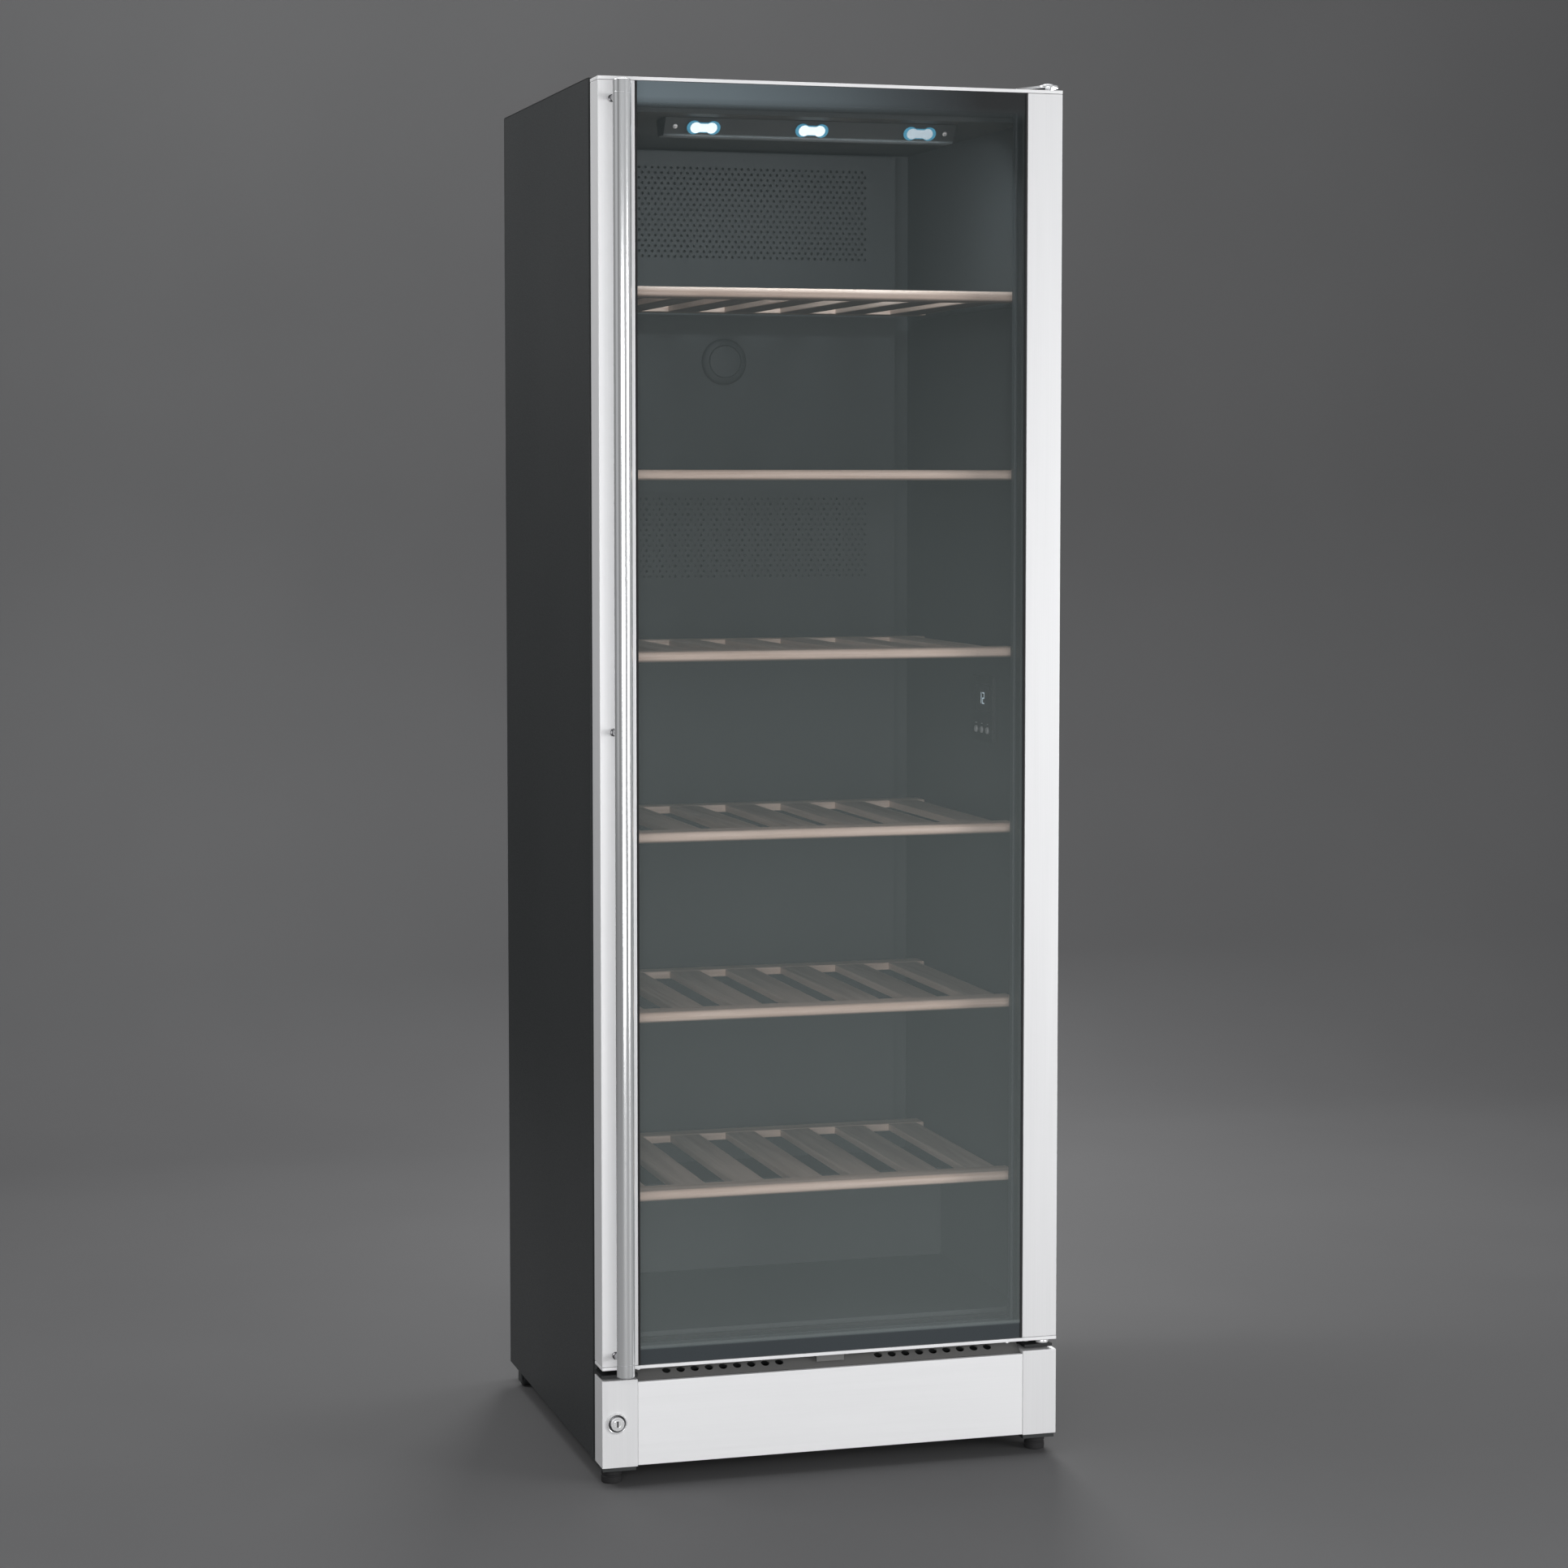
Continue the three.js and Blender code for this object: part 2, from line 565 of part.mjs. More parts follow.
// ---- plinth, lock, grille, feet --------------------------------------------------------------
function plinthBlock(side) {
  const outer = side * HALF_WIDTH;
  const inner = side * (HALF_WIDTH - BLOCK_WIDTH);
  const [x0, x1] = [Math.min(outer, inner), Math.max(outer, inner)];
  const wall = BLOCK_WALL;
  const box = block([x0, x1], [FACE_Y, DOOR_BACK_Y], [CABINET_BOTTOM, PLINTH_TOP]);
  const hollow = block(
    [x0 + wall, x1 - wall], [FACE_Y + wall, DOOR_BACK_Y + 1], [CABINET_BOTTOM + wall, PLINTH_TOP - wall],
  );
  const stemHole = rod(
    'z', FOOT_HOLE, CABINET_BOTTOM - 1, CABINET_BOTTOM + wall + 1, [side * FOOT.x, FOOT.y], 16,
  );
  if (side > 0) return cut(box, hollow, stemHole);
  const lockHole = rod('y', LOCK.barrel + 1.2, FACE_Y - 1, FACE_Y + 5, [LOCK.x, LOCK.z]);
  const boltHole = block(
    [LOCK.x - BOLT.width / 2 - 0.6, LOCK.x + BOLT.width / 2 + 0.6],
    [BOLT.y - BOLT.depth / 2 - 0.6, BOLT.y + BOLT.depth / 2 + 0.6], [PLINTH_TOP - 5, PLINTH_TOP + 1],
  );
  return cut(box, hollow, stemHole, lockHole, boltHole);
}

function plinthCentre() {
  const reach = HALF_WIDTH - BLOCK_WIDTH - CLEARANCE;
  const [low, high] = [CABINET_BOTTOM + 1, PLINTH_TOP - 3.5];
  const wall = 2.5;
  const outline = [
    [FACE_Y, low], [FACE_Y + 24, low], [FACE_Y + 24, low + wall], [FACE_Y + wall, low + wall],
    [FACE_Y + wall, high - wall], [FACE_Y + 7, high - wall], [FACE_Y + 7, high], [FACE_Y, high],
  ];
  return extrude('x', outline, -reach, reach);
}

// The slanted black strip with a row of round holes and a short tab in the middle.
function ventGrille() {
  const reach = HALF_WIDTH - BLOCK_WIDTH - 1;
  const back = DOOR_BACK_Y + 10.6;
  const outline = [
    [FACE_Y + 8, 128], [FACE_Y + 33, 143.2], [back, 143.2], [back, 145.6],
    [FACE_Y + 32.4, 145.6], [FACE_Y + 8, 130.6],
  ];
  const strip = extrude('x', outline, -reach, reach);
  const slope = Math.atan2(15.1, 25);
  const holes = [];
  for (let i = 0; i < GRILLE_HOLE.count; i += 1) {
    for (const side of [-1, 1]) {
      const hole = new THREE.CylinderGeometry(GRILLE_HOLE.radius, GRILLE_HOLE.radius, 12, 12);
      hole.rotateX(Math.PI / 2 + slope);
      const x = side * (GRILLE_HOLE.first + i * GRILLE_HOLE.pitch);
      holes.push(hole.translate(x, FACE_Y + 20.3, 136.8));
    }
  }
  const tab = block([-18, 18], [FACE_Y + 13, FACE_Y + 34], [136.5, 145.6]);
  return join(cut(strip, ...holes), tab);
}

function lockEscutcheon() {
  const [outer, bore] = [LOCK.ring, LOCK.barrel + 0.5];
  const ring = lathe([
    [bore, 0], [outer, 0], [outer, 1.2], [outer - 1.4, 2.4], [bore + 1.2, 2.4], [bore, 1.6], [bore, 0],
  ], 32);
  return ring.rotateX(Math.PI / 2);
}

// The key cylinder about the y axis with its face at y = 0, a key slot and a cam peg at the back.
function lockCylinder() {
  const barrel = rod('y', LOCK.barrel, 0, LOCK.length, [0, 0], 32);
  const slot = block([-0.9, 0.9], [-1, 6], [-4.2, 4.2]);
  const peg = rod('y', 2, LOCK.length - 1, LOCK.length + 2, [0, 5], 12);
  return join(cut(barrel, slot), peg);
}

// A flat bar that slides up into the door, with a slanted leading edge.
function lockBolt() {
  const half = BOLT.width / 2;
  const [front, back] = [BOLT.y - BOLT.depth / 2, BOLT.y + BOLT.depth / 2];
  const slant = 2.5;
  const outline = [
    [front, BOLT.bottom], [back, BOLT.bottom], [back, BOLT.top],
    [front + slant, BOLT.top], [front, BOLT.top - slant],
  ];
  return extrude('x', outline, LOCK.x - half, LOCK.x + half);
}

function levellingFoot() {
  const { radius, top } = FOOT;
  const stem = rod('z', 4, top - 3, FOOT.stemTop, [0, 0], 16);
  const pad = lathe([
    [0, 0], [radius - 1.5, 0], [radius, 1.5], [radius, top - 3], [radius - 2, top], [0, top],
  ]);
  return join(pad, stem);
}

// A roller about the x axis with a bore for its axle.
function roller() {
  const half = ROLLER.width / 2;
  const { radius, bore } = ROLLER;
  const ring = lathe([
    [bore, -half], [radius - 1.5, -half], [radius, -half + 1.5],
    [radius, half - 1.5], [radius - 1.5, half], [bore, half], [bore, -half],
  ]);
  return ring.rotateY(Math.PI / 2);
}

function powerInlet() {
  const body = block([-20, 20], [-14, 1], [-13, 13]);
  const flange = block([-28, 28], [0, 2.6], [-18, 18]);
  const socket = block([-13, 13], [-10, 4], [-9, 9]);
  return cut(join(body, flange), socket);
}

// ---- hinges ----------------------------------------------------------------------------------
function hingeBracketTop() {
  const low = CABINET_TOP + CLEARANCE;
  const outline = new THREE.Shape();
  const { x, y } = DOOR_HINGE;
  outline.moveTo(HALF_WIDTH - 1.5, -150);
  outline.lineTo(HALF_WIDTH - 1.5, y);
  outline.absarc(x, y, HALF_WIDTH - 1.5 - x, 0, -Math.PI, true);
  outline.lineTo(256, CABINET_FRONT_Y - 4);
  outline.lineTo(256, -150);
  outline.closePath();
  const plate = extrude('z', outline, low, low + 3);
  const pin = rod('z', PIN_RADIUS, DOOR_TOP - 20, low + 1, [x, y], 16);
  const head = rod('z', 6.5, low + 2, low + 5, [x, y], 20);
  const screw = (sy) => rod('z', 5, low + 2, low + 5, [272, sy], 16);
  return join(plate, pin, head, screw(-184), screw(-162));
}

function hingeBracketBottom() {
  const { x, y } = DOOR_HINGE;
  const [low, high] = [PLINTH_TOP + 3, PLINTH_TOP + 7];
  const plate = block([256, 293.5], [y - 10, CABINET_FRONT_Y - CLEARANCE], [low, high]);
  const leg = block([256, 293.5], [CABINET_FRONT_Y - 3.3, CABINET_FRONT_Y - CLEARANCE], [100, high]);
  const pin = rod('z', PIN_RADIUS, high - 1, DOOR_BOTTOM + 18, [x, y], 16);
  const washer = rod('z', 7.5, high - 1, DOOR_BOTTOM - 1, [x, y], 20);
  return join(plate, leg, pin, washer);
}

// ---- door ------------------------------------------------------------------------------------
// A hollow side profile with a lip that holds the panes.
function doorProfile(side) {
  const outer = HALF_WIDTH;
  const inner = HALF_WIDTH - PROFILE_WIDTH;
  const lipFront = GLASS_INNER.front + GLASS_INNER.thickness + CLEARANCE;
  const outline = [
    [outer, FACE_Y], [outer, DOOR_BACK_Y], [inner, DOOR_BACK_Y], [inner, lipFront + 2.5],
    [inner - 6, lipFront + 2.5], [inner - 6, lipFront], [inner, lipFront], [inner, FACE_Y],
  ];
  const w = PROFILE_WALL;
  const hollow = [
    [outer - w, FACE_Y + w], [inner + w, FACE_Y + w],
    [inner + w, DOOR_BACK_Y - w], [outer - w, DOOR_BACK_Y - w],
  ];
  const [low, high] = [DOOR_BOTTOM + RAIL + CLEARANCE, DOOR_TOP - RAIL - CLEARANCE];
  if (side > 0) return extrude('z', outline, low, high, [hollow]);
  return extrude('z', mirrored(outline), low, high, [mirrored(hollow)]);
}

function doorRail(low, leftEnd = -HALF_WIDTH) {
  const rail = block([leftEnd, HALF_WIDTH], [FACE_Y, DOOR_BACK_Y], [low, low + RAIL]);
  return cut(rail, rod('z', PIN_RADIUS + 0.6, low - 1, low + RAIL + 1, [DOOR_HINGE.x, DOOR_HINGE.y], 16));
}

// The left end of the bottom rail: a keeper plate with the pocket that the bolt slides up into.
function boltKeeper() {
  const top = DOOR_BOTTOM + RAIL;
  const plate = block([-HALF_WIDTH, KEEPER_WIDTH - HALF_WIDTH], [FACE_Y, DOOR_BACK_Y], [DOOR_BOTTOM, top]);
  const room = 2;
  const pocket = block(
    [LOCK.x - BOLT.width / 2 - room, LOCK.x + BOLT.width / 2 + room],
    [BOLT.y - BOLT.depth / 2 - room, BOLT.y + BOLT.depth / 2 + room],
    [DOOR_BOTTOM - 1, top + 1],
  );
  return cut(plate, pocket);
}

const PANE_LOW = DOOR_BOTTOM + RAIL + CLEARANCE;
const PANE_HIGH = DOOR_TOP - RAIL - CLEARANCE;

function pane({ front, thickness }) {
  return block([-GLASS_HALF_WIDTH, GLASS_HALF_WIDTH], [front, front + thickness], [PANE_LOW, PANE_HIGH]);
}

function glassSpacer() {
  const front = GLASS_OUTER.front + GLASS_OUTER.thickness + CLEARANCE;
  const bar = 4;
  const reach = GLASS_HALF_WIDTH;
  return frameRing(
    reach, [PANE_LOW, PANE_HIGH], reach - bar, [PANE_LOW + bar, PANE_HIGH - bar],
    front, GLASS_INNER.front - CLEARANCE,
  );
}

// The dark frame on the door's back, with a rim that reaches forward between the profiles.
function doorInnerFrame() {
  const { back, sideEdge, lower, upper, outerX } = INNER_FRAME;
  const front = DOOR_BACK_Y + CLEARANCE;
  const plate = frameRing(
    outerX, [DOOR_BOTTOM + 8, DOOR_TOP - 8], sideEdge, [lower, upper], front, front + back,
  );
  const rimFront = GLASS_INNER.front + GLASS_INNER.thickness + 3.4;
  const innerX = HALF_WIDTH - PROFILE_WIDTH - CLEARANCE;
  const rim = frameRing(innerX, [PANE_LOW + 2, PANE_HIGH - 2], sideEdge, [lower, upper], rimFront, front + 1);
  return join(plate, rim);
}

function doorGasket() {
  const front = DOOR_BACK_Y + CLEARANCE + INNER_FRAME.back + CLEARANCE;
  return frameRing(
    GASKET.outerX, [ROOM_FLOOR - GASKET.outerZ, ROOM_CEILING + GASKET.outerZ],
    GASKET.innerX, [ROOM_FLOOR - GASKET.innerZ, ROOM_CEILING + GASKET.innerZ],
    front, CABINET_FRONT_Y - CLEARANCE,
  );
}

function handleBar() {
  const r = HANDLE_DIAMETER / 2;
  const [low, high] = [DOOR_BOTTOM + HANDLE_END_GAP.bottom, DOOR_TOP - HANDLE_END_GAP.top];
  const edge = 1.2;
  return lathe([[0, low], [r - edge, low], [r, low + edge], [r, high - edge], [r - edge, high], [0, high]]);
}

// A post about the y axis from the door face forward to the bar, with a foot ring on the face.
function handlePost() {
  const reach = HANDLE_STANDOFF - HANDLE_DIAMETER / 2 - 2 * CLEARANCE;
  return join(rod('y', POST_RADIUS, -reach, 0, [0, 0], 20), rod('y', POST_RADIUS + 1.2, -2, 0, [0, 0], 20));
}

// ---- assembly --------------------------------------------------------------------------------
function at(mesh, x, y, z) {
  mesh.position.set(x, y, z);
  return mesh;
}

function buildCabinet() {
  const cabinet = new THREE.Group();
  cabinet.add(
    piece('side_panel_left', 'darkSheet', sidePanel(-1)),
    piece('side_panel_right', 'darkSheet', sidePanel(1)),
    piece('top_panel', 'darkSheet', topPanel()),
    piece('rear_panel', 'zinc', rearPanel()),
    piece('inner_liner', 'liner', innerLiner()),
    piece('foam_insulation', 'foam', foamInsulation()),
    piece('base_frame', 'darkSheet', baseFrame()),
    piece('rear_cover', 'zinc', rearCover()),
    at(piece('power_inlet', 'blackPlastic', powerInlet()), INLET.x, FOAM_BACK_Y - 2.6, INLET.z),
    piece('hinge_bracket_top', 'satin', hingeBracketTop()),
    piece('hinge_bracket_bottom', 'zinc', hingeBracketBottom()),
  );
  return cabinet;
}

function buildPlinth() {
  const plinth = new THREE.Group();
  plinth.add(
    piece('plinth_block_left', 'anodised', plinthBlock(-1)),
    piece('plinth_block_right', 'anodised', plinthBlock(1)),
    piece('plinth_centre', 'anodised', plinthCentre()),
    piece('vent_grille', 'blackPlastic', ventGrille()),
    at(piece('lock_escutcheon', 'satin', lockEscutcheon()), LOCK.x, FACE_Y - CLEARANCE, LOCK.z),
    at(piece('lock_cylinder', 'satin', lockCylinder()), LOCK.x, FACE_Y - LOCK.proud, LOCK.z),
    piece('lock_bolt', 'zinc', lockBolt()),
  );
  for (const [name, side] of [['left', -1], ['right', 1]]) {
    const foot = piece(`foot_front_${name}`, 'rubber', levellingFoot());
    const wheel = piece(`roller_rear_${name}`, 'blackPlastic', roller());
    plinth.add(at(foot, side * FOOT.x, FOOT.y, 0));
    plinth.add(at(wheel, side * ROLLER.x, ROLLER.y, ROLLER.radius));
  }
  return plinth;
}

function buildCooling() {
  const cooling = new THREE.Group();
  const bayFan = { size: 112, depth: 25 };
  const fanMount = new THREE.Group();
  fanMount.position.set(20, BAY_CENTRE_Y, 90);
  fanMount.rotation.z = -Math.PI / 2;
  fanMount.add(
    piece('condenser_fan_frame', 'blackPlastic', fanFrame(bayFan.size, bayFan.depth)),
    piece('condenser_fan_rotor', 'blackPlastic', fanRotor(bayFan.size, bayFan.depth)),
  );
  const ductMount = new THREE.Group();
  ductMount.position.set(DUCT_FAN.x, COVER.frontY + COVER.sheet + 2, DUCT_FAN.z);
  ductMount.add(
    piece('evaporator_fan_frame', 'blackPlastic', fanFrame(DUCT_FAN.size, DUCT_FAN.depth)),
    piece('evaporator_fan_rotor', 'blackPlastic', fanRotor(DUCT_FAN.size, DUCT_FAN.depth)),
  );
  cooling.add(
    fanMount,
    ductMount,
    piece('compressor', 'blackPlastic', compressor()),
    piece('condenser_coil', 'copper', condenserCoil()),
    piece('evaporator', 'satin', evaporator()),
  );
  return cooling;
}

function buildRoom() {
  const room = new THREE.Group();
  room.add(
    piece('duct_cover', 'liner', ductCover()),
    at(piece('filter_cap', 'liner', filterCap()), DUCT_FAN.x, COVER.frontY - CLEARANCE, DUCT_FAN.z),
    piece('lamp_housing', 'liner', lampHousing()),
    piece('control_panel', 'blackPlastic', controlPanel()),
    piece('display_window', 'glass', displayWindow()),
  );
  for (const [name, x] of Object.entries(LENS_PLACES)) {
    const lens = at(piece(`lamp_lens_${name}`, 'lamp', lampLens()), x, LENS.y, LENS.z);
    lens.rotation.x = THREE.MathUtils.degToRad(LENS.tilt);
    room.add(lens);
  }
  for (let i = 0; i < SHELF_COUNT; i += 1) {
    room.add(at(piece(`shelf_${i + 1}`, 'oak', shelf()), 0, SHELF_FRONT_Y, shelfLevel(i)));
  }
  const buttonFace = ROOM_HALF_WIDTH - CLEARANCE - PANEL.depth + 4 - BUTTON.stroke - 0.6;
  for (let i = 0; i < 3; i += 1) {
    room.add(at(piece(`button_${i + 1}`, 'satin', pushButton()), buttonFace, buttonY(i), BUTTON.z));
  }
  return room;
}

function buildDoor() {
  const door = new THREE.Group();
  door.add(
    piece('door_profile_left', 'anodised', doorProfile(-1)),
    piece('door_profile_right', 'anodised', doorProfile(1)),
    piece('door_rail_top', 'anodised', doorRail(DOOR_TOP - RAIL)),
    piece('door_rail_bottom', 'anodised', doorRail(DOOR_BOTTOM, KEEPER_WIDTH - HALF_WIDTH + CLEARANCE)),
    piece('bolt_keeper', 'anodised', boltKeeper()),
    piece('glass_outer', 'glass', pane(GLASS_OUTER)),
    piece('glass_inner', 'glass', pane(GLASS_INNER)),
    piece('glass_spacer', 'satin', glassSpacer()),
    piece('door_inner_frame', 'blackPlastic', doorInnerFrame()),
    piece('door_gasket', 'rubber', doorGasket()),
    at(piece('handle_bar', 'satin', handleBar()), HANDLE_X, FACE_Y - HANDLE_STANDOFF, 0),
  );
  for (const { name, z } of HANDLE_POSTS) {
    door.add(at(piece(`handle_post_${name}`, 'satin', handlePost()), HANDLE_X, FACE_Y - CLEARANCE, z));
  }
  return door;
}

const wineCooler = new THREE.Group();
wineCooler.add(buildCabinet(), buildPlinth(), buildCooling(), buildRoom(), buildDoor());

export default wineCooler;
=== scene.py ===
"""A tall wine cooler with a glass door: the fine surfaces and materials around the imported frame.

Metres, +Z up, the front faces -Y. Places and sizes come from the frame's own nodes wherever they can.
"""
import json
import math

import bmesh
import bpy
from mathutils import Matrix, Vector


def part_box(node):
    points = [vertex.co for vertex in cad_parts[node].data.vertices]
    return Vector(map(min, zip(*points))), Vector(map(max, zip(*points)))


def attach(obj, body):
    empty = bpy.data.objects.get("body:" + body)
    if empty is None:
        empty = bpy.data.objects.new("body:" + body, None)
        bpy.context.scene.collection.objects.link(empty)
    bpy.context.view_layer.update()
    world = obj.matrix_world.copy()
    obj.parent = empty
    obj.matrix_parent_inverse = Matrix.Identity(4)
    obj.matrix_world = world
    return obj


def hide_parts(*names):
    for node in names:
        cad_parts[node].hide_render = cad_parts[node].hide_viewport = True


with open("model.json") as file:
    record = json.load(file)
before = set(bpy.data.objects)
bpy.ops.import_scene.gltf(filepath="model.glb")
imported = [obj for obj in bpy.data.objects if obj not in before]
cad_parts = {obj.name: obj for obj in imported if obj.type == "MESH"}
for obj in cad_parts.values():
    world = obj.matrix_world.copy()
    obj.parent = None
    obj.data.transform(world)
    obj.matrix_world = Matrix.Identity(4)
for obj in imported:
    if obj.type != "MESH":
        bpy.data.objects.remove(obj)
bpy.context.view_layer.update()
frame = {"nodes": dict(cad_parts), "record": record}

MM = 0.001
NODES = frame["nodes"]
BODY_OF_NODE = {
    node: body for body, nodes in frame["record"]["behaviour"]["bodies"].items() for node in nodes
}
SLOT_OF_NODE = {part["node"]: part["material_slot"] for part in frame["record"]["subparts"]}
X_AXIS, Y_AXIS, Z_AXIS = Vector((1, 0, 0)), Vector((0, 1, 0)), Vector((0, 0, 1))


# ---- camera ----------------------------------------------------------------------------------
CAMERA = {
    "place": (-1.268, -4.391, 1.240),
    "turn": 16.19,
    "tip": 3.917,
    "lens": 80.55,
    "sensor": 36.0,
    "shift": -0.04,
}


def make_camera():
    data = bpy.data.cameras.new("camera")
    data.lens = CAMERA["lens"]
    data.sensor_width = CAMERA["sensor"]
    data.shift_y = CAMERA["shift"]
    camera = bpy.data.objects.new("camera", data)
    camera.location = CAMERA["place"]
    camera.rotation_euler = (math.radians(90 - CAMERA["tip"]), 0, math.radians(-CAMERA["turn"]))
    bpy.context.scene.collection.objects.link(camera)
    bpy.context.scene.camera = camera


# ---- materials -------------------------------------------------------------------------------
# The coated glass's colours hold a painted reflection: lighter towards the floor, darker towards the top.
COATING_WITH_PAINTED_REFLECTION = {
    "alpha": 0.20, "low": (0.41, 0.47, 0.47), "middle": (0.31, 0.36, 0.36), "high": (0.065, 0.082, 0.085),
    "middle_height": 0.9,
}
# The enamel band colours hold a painted reflection: the top band is light at the left and darkens to its
# right colour.
ENAMEL_WITH_PAINTED_REFLECTION = {
    "alpha": 0.93, "low": (0.052, 0.061, 0.067), "high": (0.160, 0.200, 0.222),
    "high_right": (0.028, 0.030, 0.031), "opening": (0.1735, 1.6985), "soft_edge": 0.010,
}
# Painted reflection on the top band: how far it has darkened from its left colour to its right one, along x
# in metres.
BAND_REFLECTION_FADE = ((-0.25, 0.0), (-0.13, 0.10), (-0.02, 0.38), (0.08, 0.72), (0.19, 1.0))


def span(node):
    """The node's box as three (low, high) pairs."""
    low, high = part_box(node)
    return tuple(zip(low, high))


class Shader:
    """One node material with short calls for the nodes that the finishes share."""

    def __init__(self, name, colour, roughness, metallic=0.0):
        self.material = bpy.data.materials.new(name)
        self.material.use_nodes = True
        self.tree = self.material.node_tree
        self.surface = self.tree.nodes["Principled BSDF"]
        self.surface.inputs["Base Color"].default_value = (*colour, 1)
        self.surface.inputs["Roughness"].default_value = roughness
        self.surface.inputs["Metallic"].default_value = metallic
        self.coordinates = self.tree.nodes.new("ShaderNodeTexCoord")

    def join(self, output, target):
        self.tree.links.new(output, target)

    def stretched(self, scale):
        mapping = self.tree.nodes.new("ShaderNodeMapping")
        mapping.inputs["Scale"].default_value = scale
        self.join(self.coordinates.outputs["Object"], mapping.inputs["Vector"])
        return mapping.outputs["Vector"]

    def noise(self, scale, detail=3.0, distortion=0.0):
        """Noise with its own number of features per metre along x, y and z."""
        node = self.tree.nodes.new("ShaderNodeTexNoise")
        node.inputs["Scale"].default_value = 1.0
        node.inputs["Detail"].default_value = detail
        node.inputs["Distortion"].default_value = distortion
        self.join(self.stretched(scale), node.inputs["Vector"])
        return node.outputs["Fac"]

    def cells(self, scale):
        node = self.tree.nodes.new("ShaderNodeTexVoronoi")
        node.inputs["Scale"].default_value = 1.0
        self.join(self.stretched(scale), node.inputs["Vector"])
        return node.outputs["Color"]

    def ramp(self, factor, low, high, start=0.35, end=0.65):
        node = self.tree.nodes.new("ShaderNodeValToRGB")
        for element, place, colour in zip(node.color_ramp.elements, (start, end), (low, high)):
            element.position = place
            element.color = (*colour, 1)
        self.join(factor, node.inputs["Fac"])
        return node.outputs["Color"]

    def mixed(self, factor, first, second, blend="MIX"):
        node = self.tree.nodes.new("ShaderNodeMix")
        node.data_type = "RGBA"
        node.blend_type = blend
        for name, value in (("Factor", factor), ("A", first), ("B", second)):
            target = node.inputs[name]
            if isinstance(value, (int, float, tuple)):
                target.default_value = value
            else:
                self.join(value, target)
        return node.outputs["Result"]

    def between(self, factor, low, high):
        node = self.tree.nodes.new("ShaderNodeMapRange")
        node.inputs["From Min"].default_value = 0.3
        node.inputs["From Max"].default_value = 0.7
        node.inputs["To Min"].default_value = low
        node.inputs["To Max"].default_value = high
        self.join(factor, node.inputs["Value"])
        return node.outputs["Result"]

    def along(self, axis, stops):
        """Colours that change along one axis, from (place in metres, colour) stops."""
        split = self.tree.nodes.new("ShaderNodeSeparateXYZ")
        self.join(self.coordinates.outputs["Object"], split.inputs["Vector"])
        reach = self.tree.nodes.new("ShaderNodeMapRange")
        low, high = stops[0][0], stops[-1][0]
        reach.inputs["From Min"].default_value = low
        reach.inputs["From Max"].default_value = high
        self.join(split.outputs[axis], reach.inputs["Value"])
        ramp = self.tree.nodes.new("ShaderNodeValToRGB")
        elements = ramp.color_ramp.elements
        while len(elements) < len(stops):
            elements.new(0.5)
        for element, (place, colour) in zip(elements, stops):
            element.position = (place - low) / (high - low)
            element.color = (*colour, 1)
        self.join(reach.outputs["Result"], ramp.inputs["Fac"])
        return ramp.outputs["Color"]

    def facing_down(self):
        """1 on the faces that look down and 0 on all others."""
        split = self.tree.nodes.new("ShaderNodeSeparateXYZ")
        self.join(self.coordinates.outputs["Normal"], split.inputs["Vector"])
        reach = self.tree.nodes.new("ShaderNodeMapRange")
        for name, value in (("From Min", -0.9), ("From Max", -0.5), ("To Min", 1.0), ("To Max", 0.0)):
            reach.inputs[name].default_value = value
        self.join(split.outputs["Z"], reach.inputs["Value"])
        return reach.outputs["Result"]

    def colour(self, output):
        self.join(output, self.surface.inputs["Base Color"])
        return self

    def roughness(self, output):
        self.join(output, self.surface.inputs["Roughness"])
        return self

    def bump(self, height, depth, strength=1.0):
        node = self.tree.nodes.new("ShaderNodeBump")
        node.inputs["Strength"].default_value = strength
        node.inputs["Distance"].default_value = depth
        self.join(height, node.inputs["Height"])
        self.join(node.outputs["Normal"], self.surface.inputs["Normal"])
        return self


def brushed_metal(name, low, high, roughness, grain, depth=0.006 * MM, metallic=1.0):
    """Metal with fine lines: grain gives the features per metre along each axis."""
    shader = Shader(name, high, roughness, metallic)
    lines = shader.noise(grain, detail=4)
    clouds = shader.noise((3, 3, 2), detail=2)
    shader.colour(shader.ramp(shader.mixed(0.35, lines, clouds), low, high))
    shader.roughness(shader.between(lines, roughness * 0.88, roughness * 1.12))
    return shader.bump(lines, depth, 0.35).material


def textured_paint(name, low, high, roughness, grain, depth):
    """Paint or moulded plastic with a fine even texture and slow patches of tone."""
    shader = Shader(name, high, roughness)
    texture = shader.noise((grain, grain, grain), detail=2)
    patches = shader.noise((2.5, 2.5, 1.5), detail=3)
    shader.colour(shader.ramp(patches, low, high, 0.3, 0.7))
    shader.roughness(shader.between(texture, roughness - 0.06, roughness + 0.08))
    return shader.bump(texture, depth, 0.5).material


def oak(name, along, underside_shade):
    """Light oak with its grain along one axis, 0 for x and 1 for y, and a painted shade on the faces that
    look down.
    """
    shader = Shader(name, (0.6, 0.45, 0.31), 0.5)
    slow, fast = [42.0, 42.0, 42.0], [420.0, 420.0, 420.0]
    slow[along] = 2.2
    fast[along] = 9.0
    figure = shader.noise(tuple(slow), detail=5, distortion=1.2)
    pores = shader.noise(tuple(fast), detail=2)
    tone = shader.ramp(figure, (0.70, 0.53, 0.44), (0.92, 0.74, 0.64), 0.32, 0.68)
    streak = shader.ramp(pores, (0.80, 0.75, 0.70), (1.0, 1.0, 1.0), 0.3, 0.55)
    wood = shader.mixed(0.55, tone, streak, "MULTIPLY")
    # Painted shade: the faces that look down take the darker colour.
    shader.colour(shader.mixed(shader.facing_down(), wood, (*underside_shade, 1)))
    shader.roughness(shader.between(pores, 0.42, 0.6))
    return shader.bump(pores, 0.08 * MM, 0.4).material


